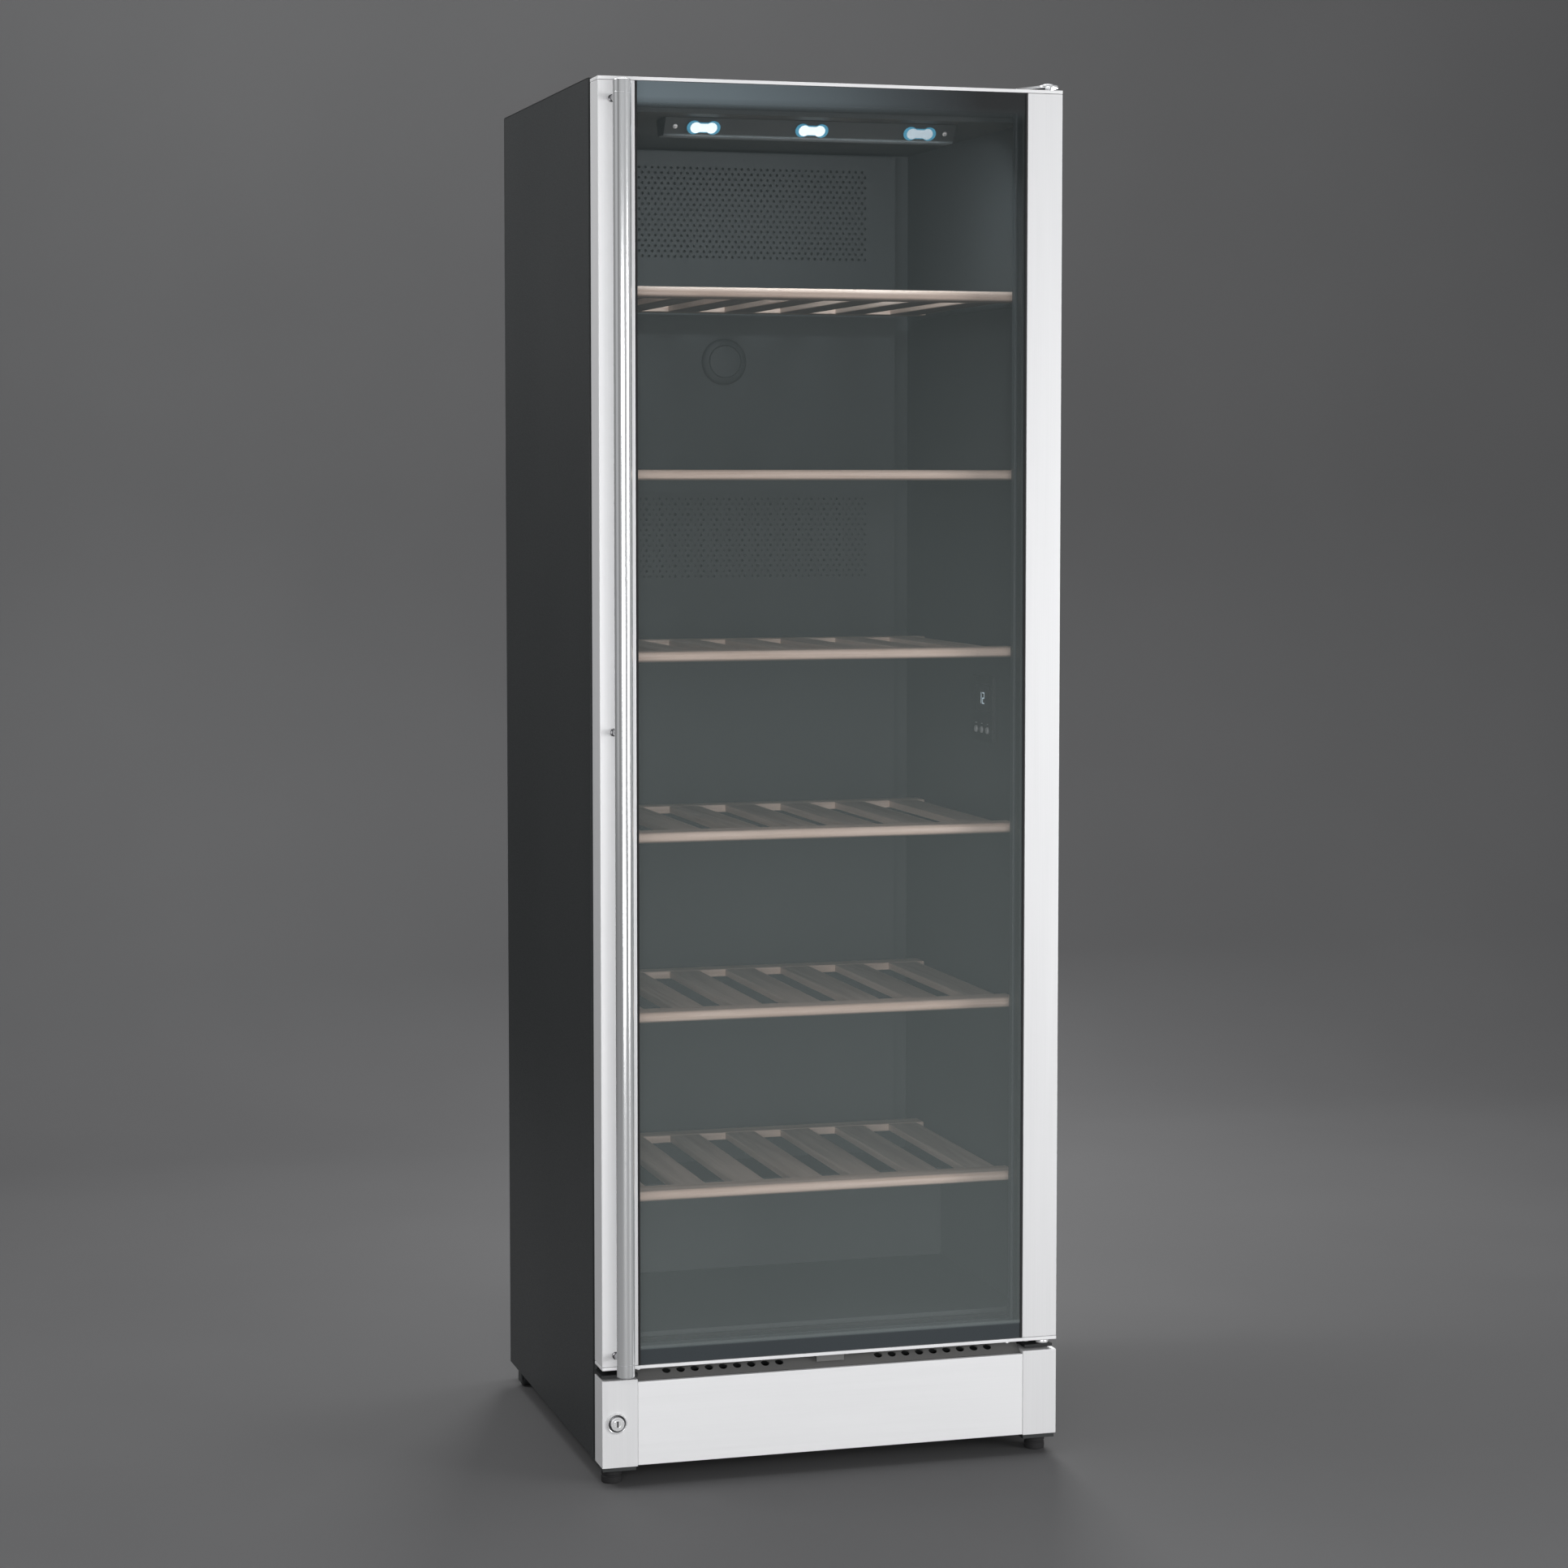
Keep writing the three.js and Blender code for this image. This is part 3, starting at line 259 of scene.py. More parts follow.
def clear_pane(name, tint, alpha):
    """Clear glass as a see-through gloss sheet with faint wiping marks."""
    shader = Shader(name, tint, 0.03)
    marks = shader.noise((7, 7, 4), detail=4, distortion=0.6)
    shader.join(shader.between(marks, alpha * 0.9, alpha * 1.1), shader.surface.inputs["Alpha"])
    shader.roughness(shader.between(marks, 0.02, 0.06))
    shader.material.surface_render_method = "BLENDED"
    return shader.material


def tinted_pane(name):
    """Grey-green coated glass with a painted reflection that makes it lighter towards the floor, and a dark
    enamel band along each end whose top band darkens from left to right as a painted reflection.
    """
    shader = Shader(name, (0.2, 0.24, 0.24), 0.04)
    low, high = span("glass_outer")[2]
    opening_low, opening_high = ENAMEL_WITH_PAINTED_REFLECTION["opening"]
    step, soft_edge = 0.001, ENAMEL_WITH_PAINTED_REFLECTION["soft_edge"]
    sides = [
        shader.along(2, [
            (low, ENAMEL_WITH_PAINTED_REFLECTION["low"]), (opening_low, ENAMEL_WITH_PAINTED_REFLECTION["low"]), (opening_low + step, COATING_WITH_PAINTED_REFLECTION["low"]),
            (COATING_WITH_PAINTED_REFLECTION["middle_height"], COATING_WITH_PAINTED_REFLECTION["middle"]), (opening_high - soft_edge, COATING_WITH_PAINTED_REFLECTION["high"]),
            (opening_high, band), (high, band),
        ])
        for band in (ENAMEL_WITH_PAINTED_REFLECTION["high"], ENAMEL_WITH_PAINTED_REFLECTION["high_right"])
    ]
    # Painted reflection: the top band darkens from its left colour to its right one.
    reflection_fade = shader.along(0, [(place, (amount,) * 3) for place, amount in BAND_REFLECTION_FADE])
    shade = shader.mixed(reflection_fade, *sides)
    cloud = shader.noise((2.2, 2.2, 1.4), detail=3)
    tone = shader.ramp(cloud, (0.90, 0.90, 0.90), (1.0, 1.0, 1.0), 0.3, 0.7)
    shader.colour(shader.mixed(1.0, shade, tone, "MULTIPLY"))
    solid, open_alpha = (ENAMEL_WITH_PAINTED_REFLECTION["alpha"],) * 3, (COATING_WITH_PAINTED_REFLECTION["alpha"],) * 3
    cover = shader.along(2, [
        (low, solid), (opening_low, solid), (opening_low + step, open_alpha),
        (opening_high - soft_edge, open_alpha), (opening_high, solid), (high, solid),
    ])
    shader.join(cover, shader.surface.inputs["Alpha"])
    shader.roughness(shader.between(cloud, 0.03, 0.06))
    shader.material.surface_render_method = "BLENDED"
    return shader.material


def glowing(name, colour, light, strength):
    """A lit lens whose glow varies in fine speckles."""
    shader = Shader(name, colour, 0.25)
    speckle = shader.noise((350, 350, 350), detail=2)
    glow = shader.ramp(speckle, tuple(0.85 * c for c in light), light, 0.3, 0.7)
    shader.join(glow, shader.surface.inputs["Emission Color"])
    shader.surface.inputs["Emission Strength"].default_value = strength
    return shader.material


def spangled_zinc(name):
    shader = Shader(name, (0.5, 0.51, 0.52), 0.38, metallic=1.0)
    flakes = shader.cells((70, 70, 70))
    tone = shader.mixed(0.25, (0.46, 0.48, 0.50, 1), flakes, "OVERLAY")
    shader.colour(shader.mixed(0.8, tone, (0.52, 0.53, 0.54, 1)))
    grain = shader.noise((300, 300, 300))
    shader.roughness(shader.between(grain, 0.34, 0.48))
    return shader.bump(grain, 0.03 * MM, 0.3).material


FINISH = {
    "anodised_profile": brushed_metal(
        "anodised_profile", (0.79, 0.79, 0.80), (0.82, 0.82, 0.83), 0.42, (1400, 1400, 6),
        depth=0.002 * MM, metallic=0.25),
    "plinth_metal": brushed_metal(
        "plinth_metal", (0.89, 0.89, 0.90), (0.91, 0.91, 0.92), 0.42, (6, 1400, 1400),
        depth=0.002 * MM, metallic=0.25),
    "satin_metal": brushed_metal(
        "satin_metal", (0.84, 0.85, 0.86), (0.89, 0.90, 0.91), 0.13, (900, 900, 4),
        depth=0.001 * MM, metallic=0.68),
    "post_metal": brushed_metal(
        "post_metal", (0.20, 0.20, 0.21), (0.26, 0.26, 0.27), 0.22, (600, 40, 600), depth=0.002 * MM),
    "lock_metal": brushed_metal(
        "lock_metal", (0.80, 0.80, 0.81), (0.86, 0.86, 0.87), 0.25, (900, 900, 900),
        depth=0.001 * MM, metallic=0.4),
    "dark_sheet": textured_paint(
        "dark_sheet", (0.027, 0.030, 0.031), (0.034, 0.037, 0.038), 0.42, 900, 0.02 * MM),
    "zinc_sheet": spangled_zinc("zinc_sheet"),
    "liner": textured_paint(
        "liner", (0.030, 0.034, 0.036), (0.039, 0.044, 0.046), 0.6, 1500, 0.008 * MM),
    "foam": textured_paint("foam", (0.70, 0.62, 0.42), (0.82, 0.75, 0.55), 0.9, 300, 0.4 * MM),
    "black_plastic": textured_paint(
        "black_plastic", (0.008, 0.009, 0.010), (0.013, 0.014, 0.015), 0.5, 1300, 0.02 * MM),
    "grille_plastic": textured_paint(
        "grille_plastic", (0.110, 0.110, 0.108), (0.135, 0.135, 0.132), 0.5, 1300, 0.03 * MM),
    "frame_plastic": textured_paint(
        "frame_plastic", (0.030, 0.036, 0.040), (0.040, 0.047, 0.052), 0.45, 1200, 0.03 * MM),
    "black_rubber": textured_paint(
        "black_rubber", (0.007, 0.007, 0.008), (0.012, 0.012, 0.013), 0.8, 1500, 0.03 * MM),
    "compressor_paint": textured_paint(
        "compressor_paint", (0.014, 0.014, 0.016), (0.022, 0.022, 0.024), 0.3, 220, 0.08 * MM),
    "copper_tube": brushed_metal("copper_tube", (0.62, 0.34, 0.22), (0.78, 0.46, 0.31), 0.3, (300, 300, 300)),
    "fin_aluminium": brushed_metal(
        "fin_aluminium", (0.66, 0.67, 0.68), (0.80, 0.81, 0.82), 0.34, (900, 40, 40)),
    # The last colour of each oak finish is the painted shade on its faces that look down.
    "oak_bar": oak("oak_bar", 0, (0.26, 0.20, 0.17)),
    "oak_lath": oak("oak_lath", 1, (0.13, 0.10, 0.085)),
    "tinted_glass": tinted_pane("tinted_glass"),
    "clear_glass": clear_pane("clear_glass", (0.10, 0.12, 0.12), 0.03),
    "lamp_lens": glowing("lamp_lens", (0.08, 0.25, 0.36), (0.05, 0.26, 0.40), 0.8),
    "lamp_core": glowing("lamp_core", (0.5, 0.6, 0.65), (0.80, 0.95, 1.0), 1.25),
    "lamp_core_dim": glowing("lamp_core_dim", (0.4, 0.45, 0.5), (0.52, 0.66, 0.74), 0.75),
    "display_plastic": textured_paint(
        "display_plastic", (0.008, 0.009, 0.010), (0.014, 0.015, 0.017), 0.12, 60, 0.01 * MM),
    "button_plastic": textured_paint(
        "button_plastic", (0.36, 0.37, 0.38), (0.44, 0.45, 0.46), 0.4, 1200, 0.03 * MM),
    "mark_paint": textured_paint("mark_paint", (0.40, 0.41, 0.42), (0.50, 0.51, 0.52), 0.5, 900, 0.01 * MM),
    "mark_light": glowing("mark_light", (0.3, 0.35, 0.4), (0.70, 0.85, 0.95), 0.55),
}


# ---- mesh helpers ----------------------------------------------------------------------------
def middle(pair):
    return (pair[0] + pair[1]) / 2


def cad_shape(node):
    """The node's own solid with its coplanar triangles joined into clean faces."""
    shape = bmesh.new()
    shape.from_mesh(NODES[node].data)
    bmesh.ops.remove_doubles(shape, verts=shape.verts, dist=0.002 * MM)
    bmesh.ops.dissolve_limit(
        shape, angle_limit=math.radians(0.5), verts=shape.verts, edges=shape.edges,
    )
    return shape


def soften(shape, width, segments=2):
    """Rounds the sharp edges of a shape."""
    sharp = [
        edge for edge in shape.edges
        if edge.is_manifold and edge.calc_face_angle(0) > math.radians(30)
    ]
    bmesh.ops.bevel(
        shape, geom=sharp, offset=width, segments=segments, profile=0.5, affect="EDGES", clamp_overlap=True,
    )
    return shape


def box_shape(x, y, z, shape=None):
    """A box between three (low, high) pairs, added to shape if one is given."""
    shape = shape or bmesh.new()
    made = bmesh.ops.create_cube(shape, size=1.0)["verts"]
    size = Vector((x[1] - x[0], y[1] - y[0], z[1] - z[0]))
    centre = Vector((middle(x), middle(y), middle(z)))
    for vert in made:
        vert.co = Vector((vert.co.x * size.x, vert.co.y * size.y, vert.co.z * size.z)) + centre
    return shape


def turned_shape(profile, axis, centre, segments=64, shape=None):
    """A closed outline of (radius, place along the axis) points turned about the axis through centre."""
    shape = shape or bmesh.new()
    turn = Z_AXIS.rotation_difference(axis)
    on_axis = 1e-7
    rings = []
    for radius, height in profile:
        if radius < on_axis:
            rings.append([shape.verts.new(turn @ Vector((0, 0, height)) + Vector(centre))])
            continue
        ring = []
        for step in range(segments):
            angle = 2 * math.pi * step / segments
            point = Vector((radius * math.cos(angle), radius * math.sin(angle), height))
            ring.append(shape.verts.new(turn @ point + Vector(centre)))
        rings.append(ring)
    closed = profile[0] == profile[-1]
    if closed:
        for vert in rings.pop():
            shape.verts.remove(vert)
        rings.append(rings[0])
    for lower, upper in zip(rings, rings[1:]):
        for step in range(segments):
            after = (step + 1) % segments
            if len(lower) == 1 and len(upper) == 1:
                continue
            if len(lower) == 1:
                shape.faces.new((lower[0], upper[after], upper[step]))
            elif len(upper) == 1:
                shape.faces.new((lower[step], lower[after], upper[0]))
            else:
                shape.faces.new((lower[step], lower[after], upper[after], upper[step]))
    bmesh.ops.recalc_face_normals(shape, faces=shape.faces)
    return shape


def prism_shape(outline, axis, start, end, shape=None):
    """An outline extruded along an axis: drawn in (y, z) along x, in (x, z) along y, in (x, y) along z."""
    shape = shape or bmesh.new()

    def place(point, along):
        a, b = point
        return {0: (along, a, b), 1: (a, along, b), 2: (a, b, along)}[axis]

    near = [shape.verts.new(place(point, start)) for point in outline]
    far = [shape.verts.new(place(point, end)) for point in outline]
    shape.faces.new(near)
    shape.faces.new(far)
    count = len(outline)
    for step in range(count):
        after = (step + 1) % count
        shape.faces.new((near[step], near[after], far[after], far[step]))
    bmesh.ops.recalc_face_normals(shape, faces=shape.faces)
    return shape


CELL_RIM = ((-1, -1), (0, -1), (1, -1), (1, 1), (0, 1), (-1, 1))
CELL_LINKS = (7, 9, 11, 1, 3, 5)
CELL_SIDES = 12


def hole_cell(shape, centre, pitch, radius, place):
    """A rectangle of sheet with a round hole. place(u, v, depth) gives a point; depth is 0 at the front."""
    rings = []
    for depth in (0, 1):
        rim = [
            shape.verts.new(place(centre[0] + u * pitch[0] / 2, centre[1] + v * pitch[1] / 2, depth))
            for u, v in CELL_RIM
        ]
        hole = []
        for step in range(CELL_SIDES):
            angle = 2 * math.pi * step / CELL_SIDES
            u, v = centre[0] + radius * math.cos(angle), centre[1] + radius * math.sin(angle)
            hole.append(shape.verts.new(place(u, v, depth)))
        for index, first in enumerate(CELL_LINKS):
            after = (index + 1) % len(CELL_RIM)
            count = (CELL_LINKS[after] - first) % CELL_SIDES
            arc = [hole[(first + step) % CELL_SIDES] for step in range(count, -1, -1)]
            shape.faces.new([rim[index], rim[after], *arc])
        rings.append(hole)
    for step in range(CELL_SIDES):
        after = (step + 1) % CELL_SIDES
        shape.faces.new((rings[0][step], rings[0][after], rings[1][after], rings[1][step]))


def make_piece(name, shape, body, finish, replaced=(), smooth=40):
    """Turns a shape into a shown piece: its finish, its body and the CAD node it stands for."""
    bmesh.ops.recalc_face_normals(shape, faces=shape.faces)
    mesh = bpy.data.meshes.new(name)
    shape.to_mesh(mesh)
    shape.free()
    mesh.shade_smooth()
    mesh.set_sharp_from_angle(angle=math.radians(smooth))
    piece = bpy.data.objects.new(name, mesh)
    bpy.context.scene.collection.objects.link(piece)
    weighting = piece.modifiers.new("even_normals", "WEIGHTED_NORMAL")
    weighting.keep_sharp = True
    mesh.materials.append(FINISH[finish])
    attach(piece, body)
    if replaced:
        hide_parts(*replaced)
    return piece


def replace_node(node, shape, finish=None, smooth=40):
    """A finer shape that stands for one CAD node."""
    slot = SLOT_OF_NODE[node]
    return make_piece(f"{node}_fine", shape, BODY_OF_NODE[node], finish or slot, (node,), smooth)


def add_detail(name, beside, shape, finish, smooth=40):
    """A small piece that the CAD doesn't hold, on the same body as the node that it belongs to."""
    return make_piece(name, shape, BODY_OF_NODE[beside], finish, (), smooth)


def screw_shape(centre, axis, radius, height, shape=None):
    """A low domed screw head with a round recess in the middle."""
    dome = [
        (0, -height), (radius, -height), (radius, 0), (radius * 0.9, height * 0.45),
        (radius * 0.62, height * 0.8), (radius * 0.3, height * 0.9), (radius * 0.26, height * 0.35),
        (0, height * 0.3),
    ]
    return turned_shape(dome, axis, centre, 28, shape)


def soften_nodes(sizes):
    """Replaces each named node by its own solid with rounded edges of the given width."""
    for node, (width, finish) in sizes.items():
        replace_node(node, soften(cad_shape(node), width), finish)


# ---- cabinet shell ---------------------------------------------------------------------------
def make_shell():
    soften_nodes({
        "side_panel_left": (0.5 * MM, None),
        "side_panel_right": (0.5 * MM, None),
        "top_panel": (0.5 * MM, None),
        "rear_panel": (0.4 * MM, None),
        "foam_insulation": (0.1 * MM, None),
        "base_frame": (0.6 * MM, None),
        "rear_cover": (0.4 * MM, None),
        "power_inlet": (0.5 * MM, None),
        "inner_liner": (0.8 * MM, None),
    })
    make_rear_details()


def add_sheet_screws(name, sheet, count, end):
    """A row of screws along each side of a rear sheet, the outer ones at the distance end from its ends."""
    x, y, z = span(sheet)
    inset, radius, height, sunk = 9 * MM, 3.6 * MM, 1.4 * MM, 0.2 * MM
    gap = (z[1] - z[0] - 2 * end) / (count - 1)
    screws = bmesh.new()
    for side in (-1, 1):
        for step in range(count):
            place = (side * (x[1] - inset), y[1] - sunk, z[0] + end + step * gap)
            screw_shape(place, Y_AXIS, radius, height, screws)
    add_detail(name, sheet, screws, "lock_metal")


def make_rear_details():
    """Screws along the rear sheets, and the three pins in the power inlet."""
    add_sheet_screws("rear_screws", "rear_panel", 5, 60 * MM)
    add_sheet_screws("cover_screws", "rear_cover", 2, 14 * MM)
    x, y, z = span("power_inlet")
    pins = bmesh.new()
    for across, up in ((-7, -1.5), (0, 2.5), (7, -1.5)):
        centre_x, centre_z = middle(x) + across * MM, middle(z) + up * MM
        box_shape(
            (centre_x - 1 * MM, centre_x + 1 * MM), (y[1] - 12.6 * MM, y[1] - 3 * MM),
            (centre_z - 2 * MM, centre_z + 2 * MM), pins,
        )
    add_detail("inlet_pins", "power_inlet", soften(pins, 0.4 * MM), "lock_metal")


# ---- door ------------------------------------------------------------------------------------
def make_door():
    make_profiles()
    soften_nodes({
        "door_rail_top": (0.9 * MM, "plinth_metal"),
        "door_rail_bottom": (0.9 * MM, "plinth_metal"),
        "bolt_keeper": (0.9 * MM, "plinth_metal"),
        "glass_spacer": (0.4 * MM, "black_plastic"),
        "door_inner_frame": (0.6 * MM, "frame_plastic"),
    })
    make_glazing()
    make_gasket()
    make_handle()


def make_profiles():
    """The side profiles, painted dark on the lips that hold the panes."""
    visible_edge = span("glass_outer")[0][1]
    for side in ("left", "right"):
        node = f"door_profile_{side}"
        profile = replace_node(node, soften(cad_shape(node), 1.0 * MM))
        profile.data.materials.append(FINISH["frame_plastic"])
        for polygon in profile.data.polygons:
            if abs(polygon.center.x) < visible_edge:
                polygon.material_index = 1


def make_pane(node):
    """A pane: its front face has the pane's own finish, its back is clear and its ground edges are dark."""
    pane = replace_node(node, soften(box_shape(*span(node)), 0.6 * MM))
    pane.data.materials.append(FINISH["clear_glass"])
    pane.data.materials.append(FINISH["black_rubber"])
    for polygon in pane.data.polygons:
        if abs(polygon.normal.y) < 0.9:
            polygon.material_index = 2
        elif polygon.normal.y > 0:
            polygon.material_index = 1


def make_glazing():
    """Both panes, with a dark seal along each side of the outer one."""
    make_pane("glass_outer")
    make_pane("glass_inner")
    x, y, z = span("glass_outer")
    seal = bmesh.new()
    for side in (-1, 1):
        edge = sorted((side * (x[1] - 2.6 * MM), side * (x[1] - 0.1 * MM)))
        box_shape(edge, (y[0] - 0.9 * MM, y[0] - 0.05 * MM), z, seal)
    add_detail("glazing_seals", "glass_outer", soften(seal, 0.3 * MM), "black_rubber")


def make_gasket():
    """The gasket ring with two rounded ribs along it."""
    x, y, z = span("door_gasket")
    width = 12 * MM
    depth = y[1] - y[0]
    section = [
        (0, 0), (0, 0.35), (0.10, 0.62), (0.10, 0.86), (0.2, 1.0), (0.80, 1.0), (0.9, 0.86), (0.9, 0.62),
        (1.0, 0.35), (1.0, 0),
    ]
    shape = bmesh.new()
    rings = []
    for across, out in section:
        inset = across * width
        place = y[0] + out * depth
        corners = [
            (x[0] + inset, place, z[0] + inset), (x[1] - inset, place, z[0] + inset),
            (x[1] - inset, place, z[1] - inset), (x[0] + inset, place, z[1] - inset),
        ]
        rings.append([shape.verts.new(corner) for corner in corners])
    for first, second in zip(rings, rings[1:] + rings[:1]):
        for step in range(4):
            after = (step + 1) % 4
            shape.faces.new((first[step], first[after], second[after], second[step]))
    replace_node("door_gasket", shape, smooth=50)


def make_handle():
    x, y, z = span("handle_bar")
    radius = (x[1] - x[0]) / 2
    centre = (middle(x), middle(y), 0)
    cap = 16 * MM
    seam = 0.35 * MM
    edge = 1.6 * MM
    low, high = z
    profile = [(0, low)]
    for step in range(7):
        angle = math.pi / 2 * step / 6
        profile.append((radius - edge + edge * math.sin(angle), low + edge - edge * math.cos(angle)))
    for place in (low + cap, high - cap):
        profile += [
            (radius, place - seam), (radius - seam, place - seam * 0.3), (radius - seam, place + seam * 0.3),
            (radius, place + seam),
        ]
    for step in range(7):
        angle = math.pi / 2 * step / 6
        profile.append((radius - edge + edge * math.cos(angle), high - edge + edge * math.sin(angle)))
    profile.append((0, high))
    replace_node("handle_bar", turned_shape(profile, Z_AXIS, centre, 96))
    for place in ("lower", "middle", "upper"):
        node = f"handle_post_{place}"
        px, py, pz = span(node)
        foot = (px[1] - px[0]) / 2
        neck = foot - 1.2 * MM
        reach = py[1] - py[0]
        outline = [
            (0, 0), (foot - 0.4 * MM, 0), (foot, 0.4 * MM), (foot, 1.4 * MM), (foot - 0.4 * MM, 1.8 * MM),
            (neck, 2.0 * MM), (neck, reach + 3 * MM), (0, reach + 3 * MM),
        ]
        post = turned_shape(outline, -Y_AXIS, (middle(px), py[1], middle(pz)), 48)
        replace_node(node, post, "post_metal")


# ---- plinth, grille, lock and feet -----------------------------------------------------------
def make_plinth():
    soften_nodes({
        "plinth_block_left": (0.9 * MM, None),
        "plinth_block_right": (0.9 * MM, None),
        "plinth_centre": (0.9 * MM, "plinth_metal"),
        "hinge_bracket_bottom": (0.6 * MM, "black_plastic"),
        "hinge_bracket_top": (0.6 * MM, None),
        "lock_bolt": (0.5 * MM, None),
    })
    make_grille()
    make_hinge_details()
    make_lock()
    make_feet()


GRILLE = {
    "first": 65 * MM, "pitch": 18.25 * MM, "count": 9, "radius": 5.5 * MM, "sheet": 2.2 * MM,
    "foot": (8 * MM, 130.6 * MM), "crest": (32.4 * MM, 145.6 * MM), "flat_bottom": 143.2 * MM,
    "tab_half_width": 18 * MM, "tab_depth": (13 * MM, 34 * MM), "tab_bottom": 136.5 * MM,
    "screws": (-246 * MM, 240 * MM),
}
LIP = {"height": (136.4 * MM, 140.4 * MM), "front": 4 * MM, "room": 0.8 * MM}


def make_grille():
    """The slanted strip with its round holes, the flat part behind it, the tab and the two screws."""
    y = span("vent_grille")[1]
    face = span("plinth_centre")[1][0]
    reach = span("plinth_centre")[0][1] - 0.7 * MM
    foot, crest = [(face + behind, height) for behind, height in (GRILLE["foot"], GRILLE["crest"])]
    slope = Vector((crest[0] - foot[0], crest[1] - foot[1]))
    length = slope.length
    slope.normalize()
    centre = ((foot[0] + crest[0]) / 2, (foot[1] + crest[1]) / 2)

    def place(u, v, depth):
        sunk = depth * GRILLE["sheet"]
        return (u, centre[0] + slope.x * v + slope.y * sunk, centre[1] + slope.y * v - slope.x * sunk)

    shape = bmesh.new()
    edge = GRILLE["first"] - GRILLE["pitch"] / 2
    last = edge + GRILLE["count"] * GRILLE["pitch"]
    for side in (-1, 1):
        for step in range(GRILLE["count"]):
            middle_x = side * (GRILLE["first"] + step * GRILLE["pitch"])
            hole_cell(shape, (middle_x, 0), (GRILLE["pitch"], length), GRILLE["radius"], place)
    half = length / 2
    corners = [place(0, v, depth)[1:] for v, depth in ((-half, 0), (half, 0), (half, 1), (-half, 1))]
    for start, end in ((-reach, -last), (-edge, edge), (last, reach)):
        prism_shape(corners, 0, start, end, shape)
    box_shape((-reach, reach), (crest[0] - 0.4 * MM, y[1]), (GRILLE["flat_bottom"], crest[1]), shape)
    tab, tab_depth = GRILLE["tab_half_width"], [face + behind for behind in GRILLE["tab_depth"]]
    box_shape((-tab, tab), tab_depth, (GRILLE["tab_bottom"], crest[1]), shape)
    replace_node("vent_grille", shape, "grille_plastic")
    screws = bmesh.new()
    out = Vector((0, -slope.y, slope.x))
    for screw_x in GRILLE["screws"]:
        screw_shape(place(screw_x, length * 0.22, 0), out, 3.2 * MM, 1.6 * MM, screws)
    add_detail("grille_screws", "vent_grille", screws, "lock_metal")
    make_corner_lip(face, -reach)


def make_corner_lip(face, inner):
    """The black lip over the left plinth block, in four parts around the bolt's hole; its black is partly the
    lip's own colour and partly painted shade of the gap under the door.
    """
    bolt_x, bolt_y, _ = span("lock_bolt")
    room = LIP["room"]
    outer, front = span("plinth_block_left")[0][0], face + LIP["front"]
    back = span("plinth_block_left")[1][1] - 1 * MM
    lip = bmesh.new()
    for part_x, part_y in (
        ((outer, bolt_x[0] - room), (front, back)), ((bolt_x[1] + room, inner), (front, back)),
        ((bolt_x[0] - room, bolt_x[1] + room), (front, bolt_y[0] - room)),
        ((bolt_x[0] - room, bolt_x[1] + room), (bolt_y[1] + room, back)),
    ):
        box_shape(part_x, part_y, LIP["height"], lip)
    add_detail("corner_lip", "vent_grille", lip, "black_plastic")


HINGE = {
    "pin": (283 * MM, -232 * MM), "washer_bottom": 141.2 * MM, "screw_x": 265 * MM,
    "screws_y": (-222 * MM, -205 * MM), "bracket_top": 141 * MM,
}


def make_hinge_details():
    """The bright washer around the lower hinge pin and the bracket's two screws."""
    washer = [
        (4.4 * MM, 0), (8 * MM, 0), (8.4 * MM, 0.8 * MM), (8.4 * MM, 3.2 * MM), (7.6 * MM, 4.2 * MM),
        (5.6 * MM, 5.2 * MM), (4.4 * MM, 5.2 * MM), (4.4 * MM, 0),
    ]
    shape = turned_shape(washer, Z_AXIS, (*HINGE["pin"], HINGE["washer_bottom"]), 40)
    add_detail("hinge_washer", "hinge_bracket_bottom", shape, "lock_metal")
    screws = bmesh.new()
    for screw_y in HINGE["screws_y"]:
        screw_shape((HINGE["screw_x"], screw_y, HINGE["bracket_top"]), Z_AXIS, 3.4 * MM, 1.6 * MM, screws)
    add_detail("hinge_screws", "hinge_bracket_bottom", screws, "lock_metal")


def make_lock():
    x, y, z = span("lock_escutcheon")
    outer = (x[1] - x[0]) / 2
    bore = 9 * MM
    deep = y[1] - y[0]
    centre = (middle(x), y[1], middle(z))
    ring = [
        (outer - 2.2 * MM, 0), (outer, 0), (outer, deep * 0.35), (outer - 0.4 * MM, deep * 0.8),
        (outer - 1.1 * MM, deep), (outer - 1.8 * MM, deep * 0.85), (outer - 2.2 * MM, deep * 0.4),
        (outer - 2.2 * MM, 0),
    ]
    replace_node("lock_escutcheon", turned_shape(ring, -Y_AXIS, centre, 72))
    # The well inside the ring is darker metal, a painted shade of the recess around the cylinder.
    well = [
        (bore, 0), (outer - 2.2 * MM, 0), (outer - 2.2 * MM, 0.4 * MM), (bore, 0.4 * MM), (bore, 0),
    ]
    add_detail("lock_well_painted_shade", "lock_escutcheon", turned_shape(well, -Y_AXIS, centre, 72), "post_metal")
    replace_node("lock_cylinder", soften(cad_shape("lock_cylinder"), 0.5 * MM))
    key_x, key_y, _ = span("lock_cylinder")
    middle_z = middle(z)
    collar = [
        (4.0 * MM, 0), (5.2 * MM, 0), (5.2 * MM, 0.3 * MM), (4.6 * MM, 0.5 * MM), (4.0 * MM, 0.3 * MM),
        (4.0 * MM, 0),
    ]
    face_centre = (middle(key_x), key_y[0] + 0.02 * MM, middle_z)
    add_detail("key_collar", "lock_cylinder", turned_shape(collar, -Y_AXIS, face_centre, 48), "lock_metal")
    # A black box deep in the keyway: painted shade of the slot.
    slot = box_shape(
        (middle(key_x) - 0.9 * MM, middle(key_x) + 0.9 * MM), (key_y[0] + 0.6 * MM, key_y[0] + 1.2 * MM),
        (middle_z - 3.6 * MM, middle_z + 3.6 * MM),
    )
    add_detail("key_slot_painted_shade", "lock_cylinder", soften(slot, 0.15 * MM), "black_plastic")


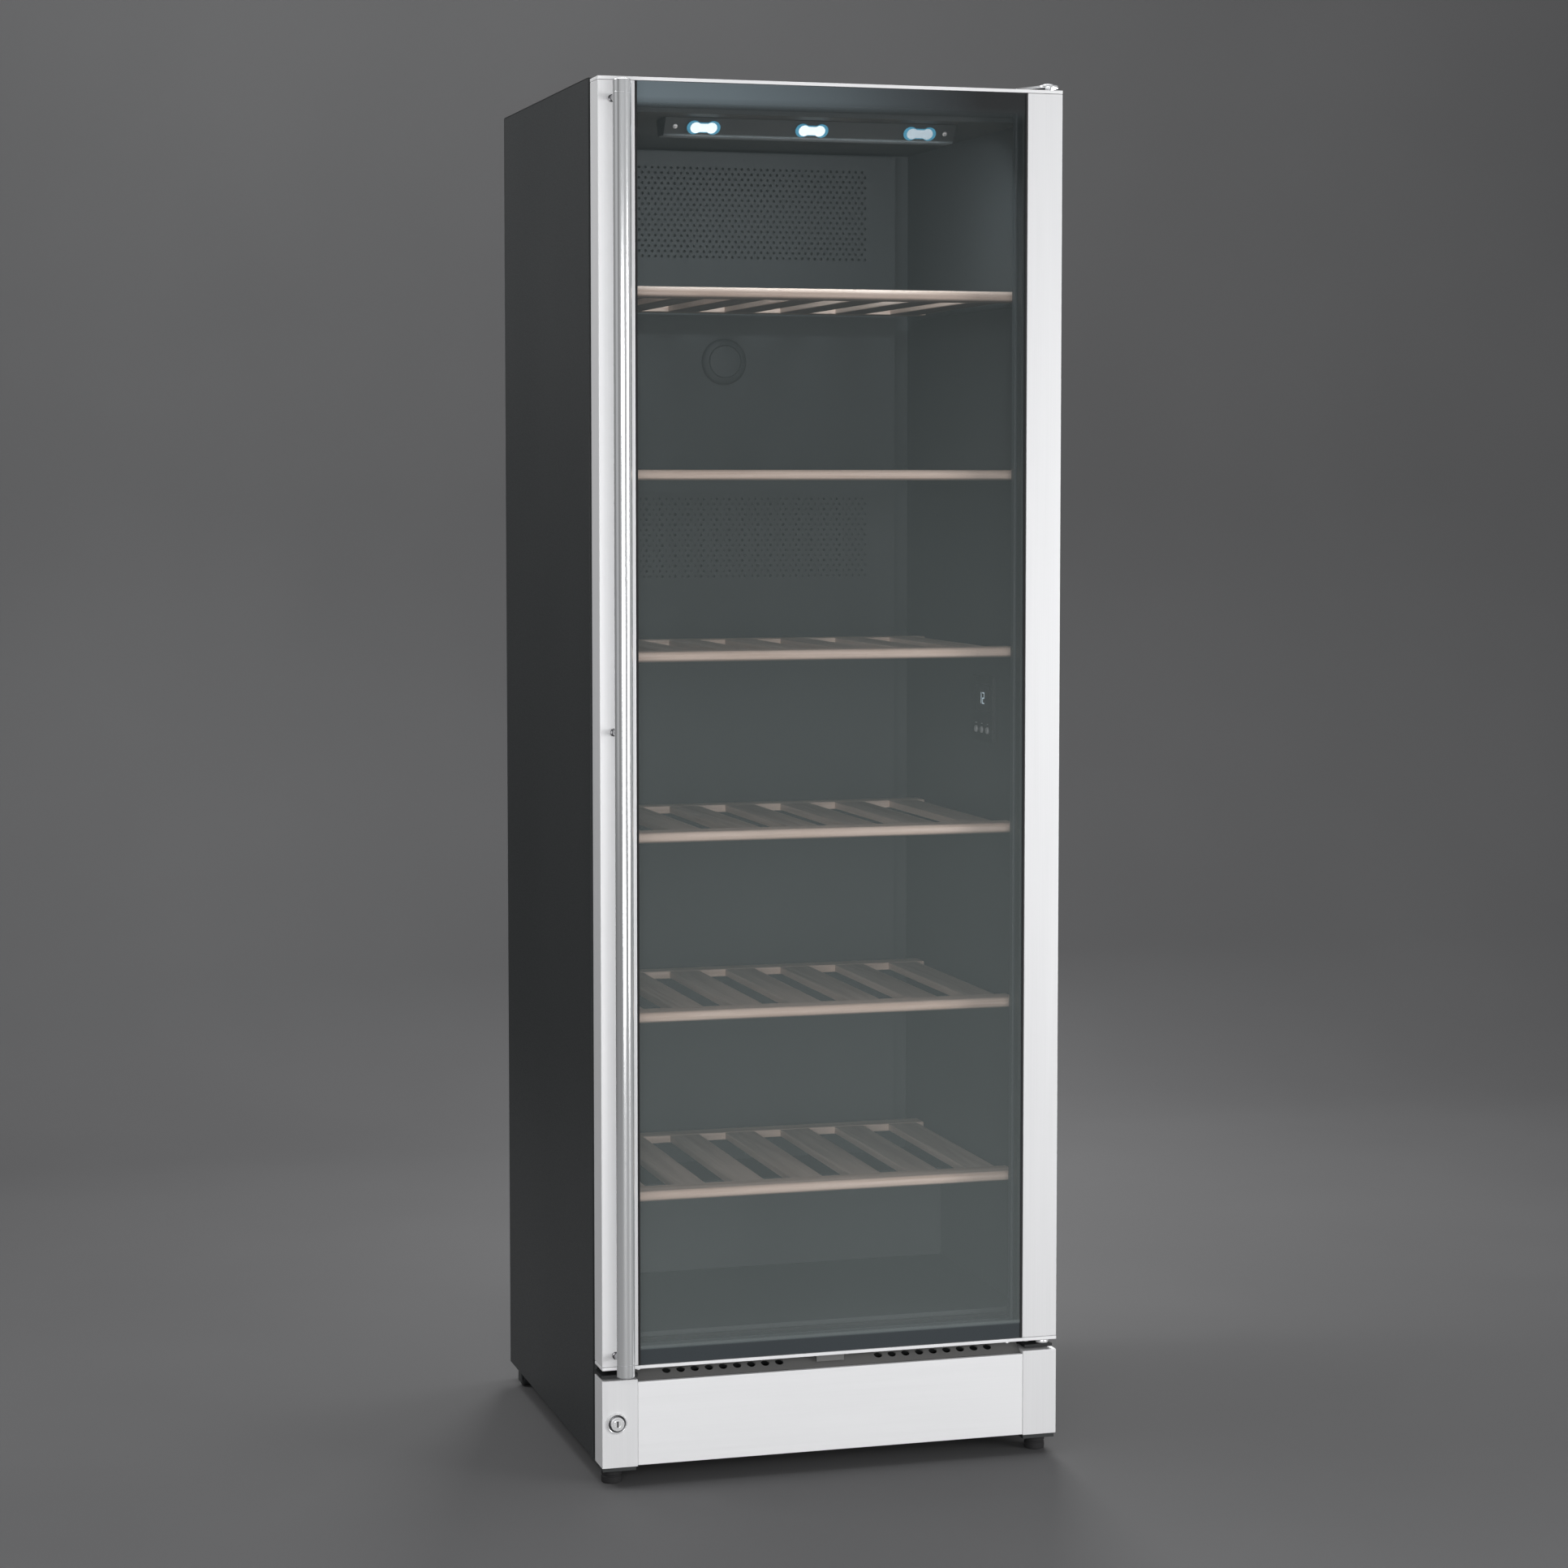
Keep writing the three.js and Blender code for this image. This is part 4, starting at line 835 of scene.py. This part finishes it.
def make_feet():
    for side in ("left", "right"):
        node = f"foot_front_{side}"
        x, y, z = span(node)
        outer = (x[1] - x[0]) / 2
        centre = (middle(x), middle(y), 0)
        top = 19 * MM
        pad = [
            (0, 0), (outer - 2 * MM, 0), (outer - 0.5 * MM, 0.6 * MM), (outer, 2 * MM), (outer, 8 * MM),
            (outer - 1 * MM, 9 * MM), (outer - 1 * MM, 10 * MM), (outer, 11 * MM), (outer, 15 * MM),
            (outer - 1.5 * MM, 17 * MM), (outer - 3 * MM, top), (4 * MM, top),
        ]
        thread = top
        while thread < z[1] - 1.3 * MM:
            pad += [(3.5 * MM, thread + 0.3 * MM), (4 * MM, thread + 0.9 * MM)]
            thread += 1.25 * MM
        pad.append((0, z[1]))
        replace_node(node, turned_shape(pad, Z_AXIS, centre, 48))
        make_roller(f"roller_rear_{side}")


def make_roller(node):
    x, y, z = span(node)
    outer, half, bore = (z[1] - z[0]) / 2, (x[1] - x[0]) / 2, 3.6 * MM
    tread = [
        (bore, -half), (bore + 2 * MM, -half), (bore + 2.5 * MM, -half + 1 * MM),
        (outer - 4 * MM, -half + 1 * MM), (outer - 3.5 * MM, -half), (outer - 1.2 * MM, -half),
        (outer, -half + 1.4 * MM), (outer, half - 1.4 * MM),
        (outer - 1.2 * MM, half), (outer - 3.5 * MM, half), (outer - 4 * MM, half - 1 * MM),
        (bore + 2.5 * MM, half - 1 * MM), (bore + 2 * MM, half), (bore, half), (bore, -half),
    ]
    replace_node(node, turned_shape(tread, X_AXIS, (middle(x), middle(y), middle(z)), 56))


# ---- inside the room -------------------------------------------------------------------------
SHELF = {"bar": 40 * MM, "lath": 42 * MM, "pitch": 78 * MM, "count": 7, "back": 30 * MM, "thin": 10 * MM}


def make_shelves():
    for index in range(1, 7):
        make_shelf(f"shelf_{index}")


def make_shelf(node):
    """A front bar with a round nose, seven laths and a back bar, as three pieces for one CAD node."""
    x, y, z = span(node)
    height = z[1] - z[0]
    nose = height / 2
    outline = [(y[0] + SHELF["bar"], z[0]), (y[0] + SHELF["bar"], z[1])]
    for step in range(13):
        angle = math.pi / 2 + math.pi * step / 12
        outline.append((y[0] + nose + nose * math.cos(angle), z[0] + nose + nose * math.sin(angle)))
    front = soften(prism_shape(outline, 0, x[0], x[1]), 2.0 * MM, 3)
    replace_node(node, front, "oak_bar")
    laths = bmesh.new()
    for step in range(SHELF["count"]):
        centre = (step - (SHELF["count"] - 1) / 2) * SHELF["pitch"]
        box_shape(
            (centre - SHELF["lath"] / 2, centre + SHELF["lath"] / 2),
            (y[0] + SHELF["bar"] - 4 * MM, y[1] - SHELF["back"] + 4 * MM),
            (z[0] + 0.4 * MM, z[0] + SHELF["thin"]), laths,
        )
    add_detail(f"{node}_laths", node, soften(laths, 1.8 * MM, 3), "oak_lath")
    back = box_shape(x, (y[1] - SHELF["back"], y[1]), (z[0], z[0] + SHELF["thin"] + 0.5 * MM))
    add_detail(f"{node}_back_bar", node, soften(back, 1.8 * MM, 3), "oak_bar")


def make_room():
    make_shelves()
    make_duct_cover()
    make_lamps()
    make_display()
    soften_nodes({
        "lamp_housing": (1.2 * MM, None),
        "control_panel": (0.5 * MM, None),
        "display_window": (0.2 * MM, None),
    })
    x, y, z = span("filter_cap")
    outer = (x[1] - x[0]) / 2
    cap = [
        (0, 0), (outer, 0), (outer, 3 * MM), (outer - 1.2 * MM, 5.0 * MM), (outer - 4 * MM, 7.0 * MM),
        (outer - 8 * MM, 8.4 * MM), (outer - 9 * MM, 7.4 * MM), (outer - 10 * MM, 8.8 * MM),
        (outer - 18 * MM, 9.8 * MM), (0, 10 * MM),
    ]
    replace_node("filter_cap", turned_shape(cap, -Y_AXIS, (middle(x), y[1], middle(z)), 72))
    for index in (1, 2, 3):
        replace_node(f"button_{index}", soften(cad_shape(f"button_{index}"), 0.3 * MM))


PERFORATION = {
    "pitch": (9 * MM, 7 * MM), "radius": 2.0 * MM, "columns": 44,
    "zones": ((1107 * MM, 16), (1540 * MM, 18)), "sheet": 2 * MM,
}


def make_duct_cover():
    """The back wall's cover: a folded sheet with two fields of staggered round holes and the fan opening."""
    x, y, z = span("duct_cover")
    sheet = PERFORATION["sheet"]
    step_x, step_z = PERFORATION["pitch"]
    half = PERFORATION["columns"] * step_x / 2
    front = (y[0], y[0] + sheet)

    def place(u, v, depth):
        return (u, y[0] + depth * sheet, v)

    shape = bmesh.new()
    for side in (-1, 1):
        box_shape(sorted((side * half, side * x[1])), front, z, shape)
        box_shape(sorted((side * (x[1] - sheet), side * x[1])), (y[0] + sheet, y[1]), z, shape)
    plain_from = z[0]
    for low, rows in PERFORATION["zones"]:
        plain_to = low
        if low == PERFORATION["zones"][1][0]:
            fan_x, _, fan_z = span("filter_cap")
            box_shape((-half, half), front, (plain_from, fan_z[0]), shape)
            box_shape((-half, half), front, (fan_z[1], plain_to), shape)
            box_shape((-half, fan_x[0]), front, fan_z, shape)
            box_shape((fan_x[1], half), front, fan_z, shape)
            centre = (middle(fan_x), middle(fan_z))
            hole_cell(shape, centre, (fan_x[1] - fan_x[0], fan_z[1] - fan_z[0]), 24 * MM, place)
        else:
            box_shape((-half, half), front, (plain_from, plain_to), shape)
        for row in range(rows):
            centre_z = low + (row + 0.5) * step_z
            shifted = row % 2
            for column in range(PERFORATION["columns"] - shifted):
                centre_x = -half + (column + 0.5 + shifted / 2) * step_x
                hole_cell(shape, (centre_x, centre_z), (step_x, step_z), PERFORATION["radius"], place)
            if shifted:
                rows_z = (centre_z - step_z / 2, centre_z + step_z / 2)
                box_shape((-half, -half + step_x / 2), front, rows_z, shape)
                box_shape((half - step_x / 2, half), front, rows_z, shape)
        plain_from = low + rows * step_z
    box_shape((-half, half), front, (plain_from, z[1]), shape)
    replace_node("duct_cover", shape)


CORE_SHARE = 0.80


def make_lamps():
    """Each lens with a blue-white rim and a brighter core, and the lamp bar's two end screws."""
    for place, core_finish in (("left", "lamp_core"), ("middle", "lamp_core"), ("right", "lamp_core_dim")):
        node = f"lamp_lens_{place}"
        lens = cad_shape(node)
        face = max((face for face in lens.faces if face.normal.y < 0), key=lambda face: face.calc_area())
        centre = face.calc_center_median()
        normal = face.normal.copy()
        rim = [centre + (vert.co - centre) * CORE_SHARE for vert in face.verts]
        core = bmesh.new()
        rings = []
        for scale, lift in ((1.0, 0.05), (0.93, 0.35), (0.70, 0.6)):
            rings.append([
                core.verts.new(centre + (point - centre) * scale + normal * lift * MM) for point in rim
            ])
        for lower, upper in zip(rings, rings[1:]):
            for step in range(len(rim)):
                after = (step + 1) % len(rim)
                core.faces.new((lower[step], lower[after], upper[after], upper[step]))
        core.faces.new(rings[-1])
        core.faces.new(list(reversed(rings[0])))
        replace_node(node, soften(lens, 0.5 * MM))
        add_detail(f"{node}_core", node, core, core_finish)
    x, y, z = span("lamp_housing")
    screws = bmesh.new()
    for side in (-1, 1):
        place = (side * (x[1] - 14 * MM), y[0] + 7 * MM, middle(z))
        screw_shape(place, Vector((0, -0.85, -0.53)), 3.2 * MM, 1.5 * MM, screws)
    add_detail("lamp_screws", "lamp_housing", screws, "lock_metal")


SEGMENTS = {
    "1": ((1, 0, 1), (1, 1, 1)), "2": ((0, 2, 0), (1, 1, 1), (0, 1, 0), (0, 0, 1), (0, 0, 0)),
}
DIGIT = {"width": 7 * MM, "height": 15 * MM, "stroke": 1.4 * MM, "proud": 0.25 * MM}


def digit_shape(value, y_start, z_start, face, shape):
    """A digit of straight strokes that reads from y_start towards the front of the room.

    Each stroke is (column, row, upright) on a lattice of 2 by 3 places.
    """
    stroke = DIGIT["stroke"]
    rise = (DIGIT["height"] - stroke) / 2
    run = DIGIT["width"] - stroke
    for column, row, upright in SEGMENTS[value]:
        y_high = y_start - (run * column if upright else 0)
        z_low = z_start + row * rise
        y_low = y_high - (stroke if upright else run + stroke)
        z_high = z_low + (rise + stroke if upright else stroke)
        box_shape((face - DIGIT["proud"], face), (y_low, y_high), (z_low, z_high), shape)


def make_display():
    """Two lit digits in the window, and a painted mark over each button."""
    x, y, z = span("display_window")
    shape = bmesh.new()
    for index, value in enumerate("12"):
        start = middle(y) + (1 - index) * 11 * MM - 2 * MM
        digit_shape(value, start, middle(z) - DIGIT["height"] / 2, x[0], shape)
    add_detail("display_digits", "display_window", shape, "mark_light")
    marks = bmesh.new()
    face = span("control_panel")[0][0]
    for index in (1, 2, 3):
        _, button_y, button_z = span(f"button_{index}")
        over = (button_z[1] + 3 * MM, button_z[1] + 4.2 * MM)
        half = (1 + index) * MM
        box_shape((face - 0.2 * MM, face), (middle(button_y) - half, middle(button_y) + half), over, marks)
    add_detail("panel_marks", "control_panel", marks, "mark_paint")


# ---- cooling machinery -----------------------------------------------------------------------
def make_machinery():
    soften_nodes({
        "compressor": (0.8 * MM, None),
        "condenser_coil": (0.1 * MM, None),
        "condenser_fan_frame": (0.6 * MM, None),
        "condenser_fan_rotor": (0.4 * MM, None),
        # The evaporator's dark finish is partly a dark coating on its fins and partly painted shade behind
        # the perforated cover.
        "evaporator": (0.2 * MM, "dark_sheet"),
        "evaporator_fan_frame": (0.6 * MM, None),
        "evaporator_fan_rotor": (0.4 * MM, None),
    })


# ---- floor and light -------------------------------------------------------------------------
def make_stage():
    shader = Shader("studio_floor", (0.14, 0.14, 0.143), 0.7)
    shader.surface.inputs["Specular IOR Level"].default_value = 0.1
    cloud = shader.noise((1.5, 1.5, 1.5), detail=4)
    shader.colour(shader.ramp(cloud, (0.112, 0.112, 0.114), (0.118, 0.118, 0.120)))
    mesh = bpy.data.meshes.new("studio_floor")
    reach, back, rise = 9.0, 3.2, 6.0
    bend = 1.2
    outline = [(-reach, 0.0), (back - bend, 0.0)]
    for step in range(1, 13):
        angle = math.pi / 2 * step / 12
        outline.append((back - bend + bend * math.sin(angle), bend - bend * math.cos(angle)))
    outline.append((back, rise))
    verts = [(side * reach, y, z) for y, z in outline for side in (-1, 1)]
    faces = [(2 * i, 2 * i + 1, 2 * i + 3, 2 * i + 2) for i in range(len(outline) - 1)]
    mesh.from_pydata(verts, [], faces)
    mesh.shade_smooth()
    mesh.materials.append(shader.material)
    floor = bpy.data.objects.new("studio_floor", mesh)
    bpy.context.scene.collection.objects.link(floor)


def area_light(name, place, target, size, power, colour=(1, 1, 1)):
    data = bpy.data.lights.new(name, "AREA")
    data.shape = "RECTANGLE"
    data.size, data.size_y = size
    data.energy = power
    data.color = colour
    light = bpy.data.objects.new(name, data)
    light.location = place
    light.rotation_euler = (Vector(target) - Vector(place)).to_track_quat("-Z", "Y").to_euler()
    light.visible_camera = False
    bpy.context.scene.collection.objects.link(light)


def dark_card(name, place, target, width, height):
    """A black card that only reflections see, as a photographer's flag."""
    shader = Shader(f"{name}_paint", (0.01, 0.01, 0.01), 0.9)
    mesh = bpy.data.meshes.new(name)
    half_width, half_height = width / 2, height / 2
    corners = [
        (-half_width, -half_height, 0), (half_width, -half_height, 0), (half_width, half_height, 0),
        (-half_width, half_height, 0),
    ]
    mesh.from_pydata(corners, [], [(0, 1, 2, 3)])
    mesh.materials.append(shader.material)
    card = bpy.data.objects.new(name, mesh)
    card.location = place
    card.rotation_euler = (Vector(target) - Vector(place)).to_track_quat("Z", "Y").to_euler()
    card.visible_camera = False
    card.visible_diffuse = False
    card.visible_shadow = False
    card.visible_transmission = False
    bpy.context.scene.collection.objects.link(card)


def make_lights():
    world = bpy.data.worlds.new("studio")
    world.use_nodes = True
    world.node_tree.nodes["Background"].inputs["Color"].default_value = (0.80, 0.81, 0.83, 1)
    world.node_tree.nodes["Background"].inputs["Strength"].default_value = 0.35
    bpy.context.scene.world = world
    area_light("front_left", (-1.1, -3.9, 0.85), (0, 0, 0.45), (2.2, 1.6), 71)
    area_light("front_right", (3.0, -3.0, 0.9), (0, 0, 0.45), (1.6, 1.7), 78)
    area_light("side", (-2.4, 0.5, 2.7), (-0.3, 0, 1.7), (1.0, 1.0), 34)
    area_light("top", (0.0, 0.2, 4.2), (0, 0, 0.9), (2.6, 2.0), 70)
    area_light("backdrop", (0.0, 0.9, 3.6), (0, 3.2, 1.0), (4.0, 0.6), 40)
    area_light("rear", (0.95, 2.7, 1.6), (0.95, 0, 1.6), (1.0, 1.4), 38)
    lamp_y, lamp_z = span("lamp_housing")[1:]
    glow_place = (0, lamp_y[0] - 0.01, lamp_z[0] - 0.01)
    area_light("lamp_glow", glow_place, (0, 0.1, 1.2), (0.36, 0.03), 1.2, (0.85, 0.95, 1.0))
    dark_card("card_front_left", (-2.5, -1.5, 1.3), (-0.28, -0.3, 1.0), 1.1, 4.0)
    dark_card("card_back_left", (-1.7, 1.7, 0.3), (-0.3, 0, 0.5), 2.4, 2.2)


def set_view():
    view = bpy.context.scene.view_settings
    view.view_transform = "Standard"
    view.look = "None"


make_camera()
make_shell()
make_door()
make_plinth()
make_room()
make_machinery()
make_stage()
make_lights()
set_view()
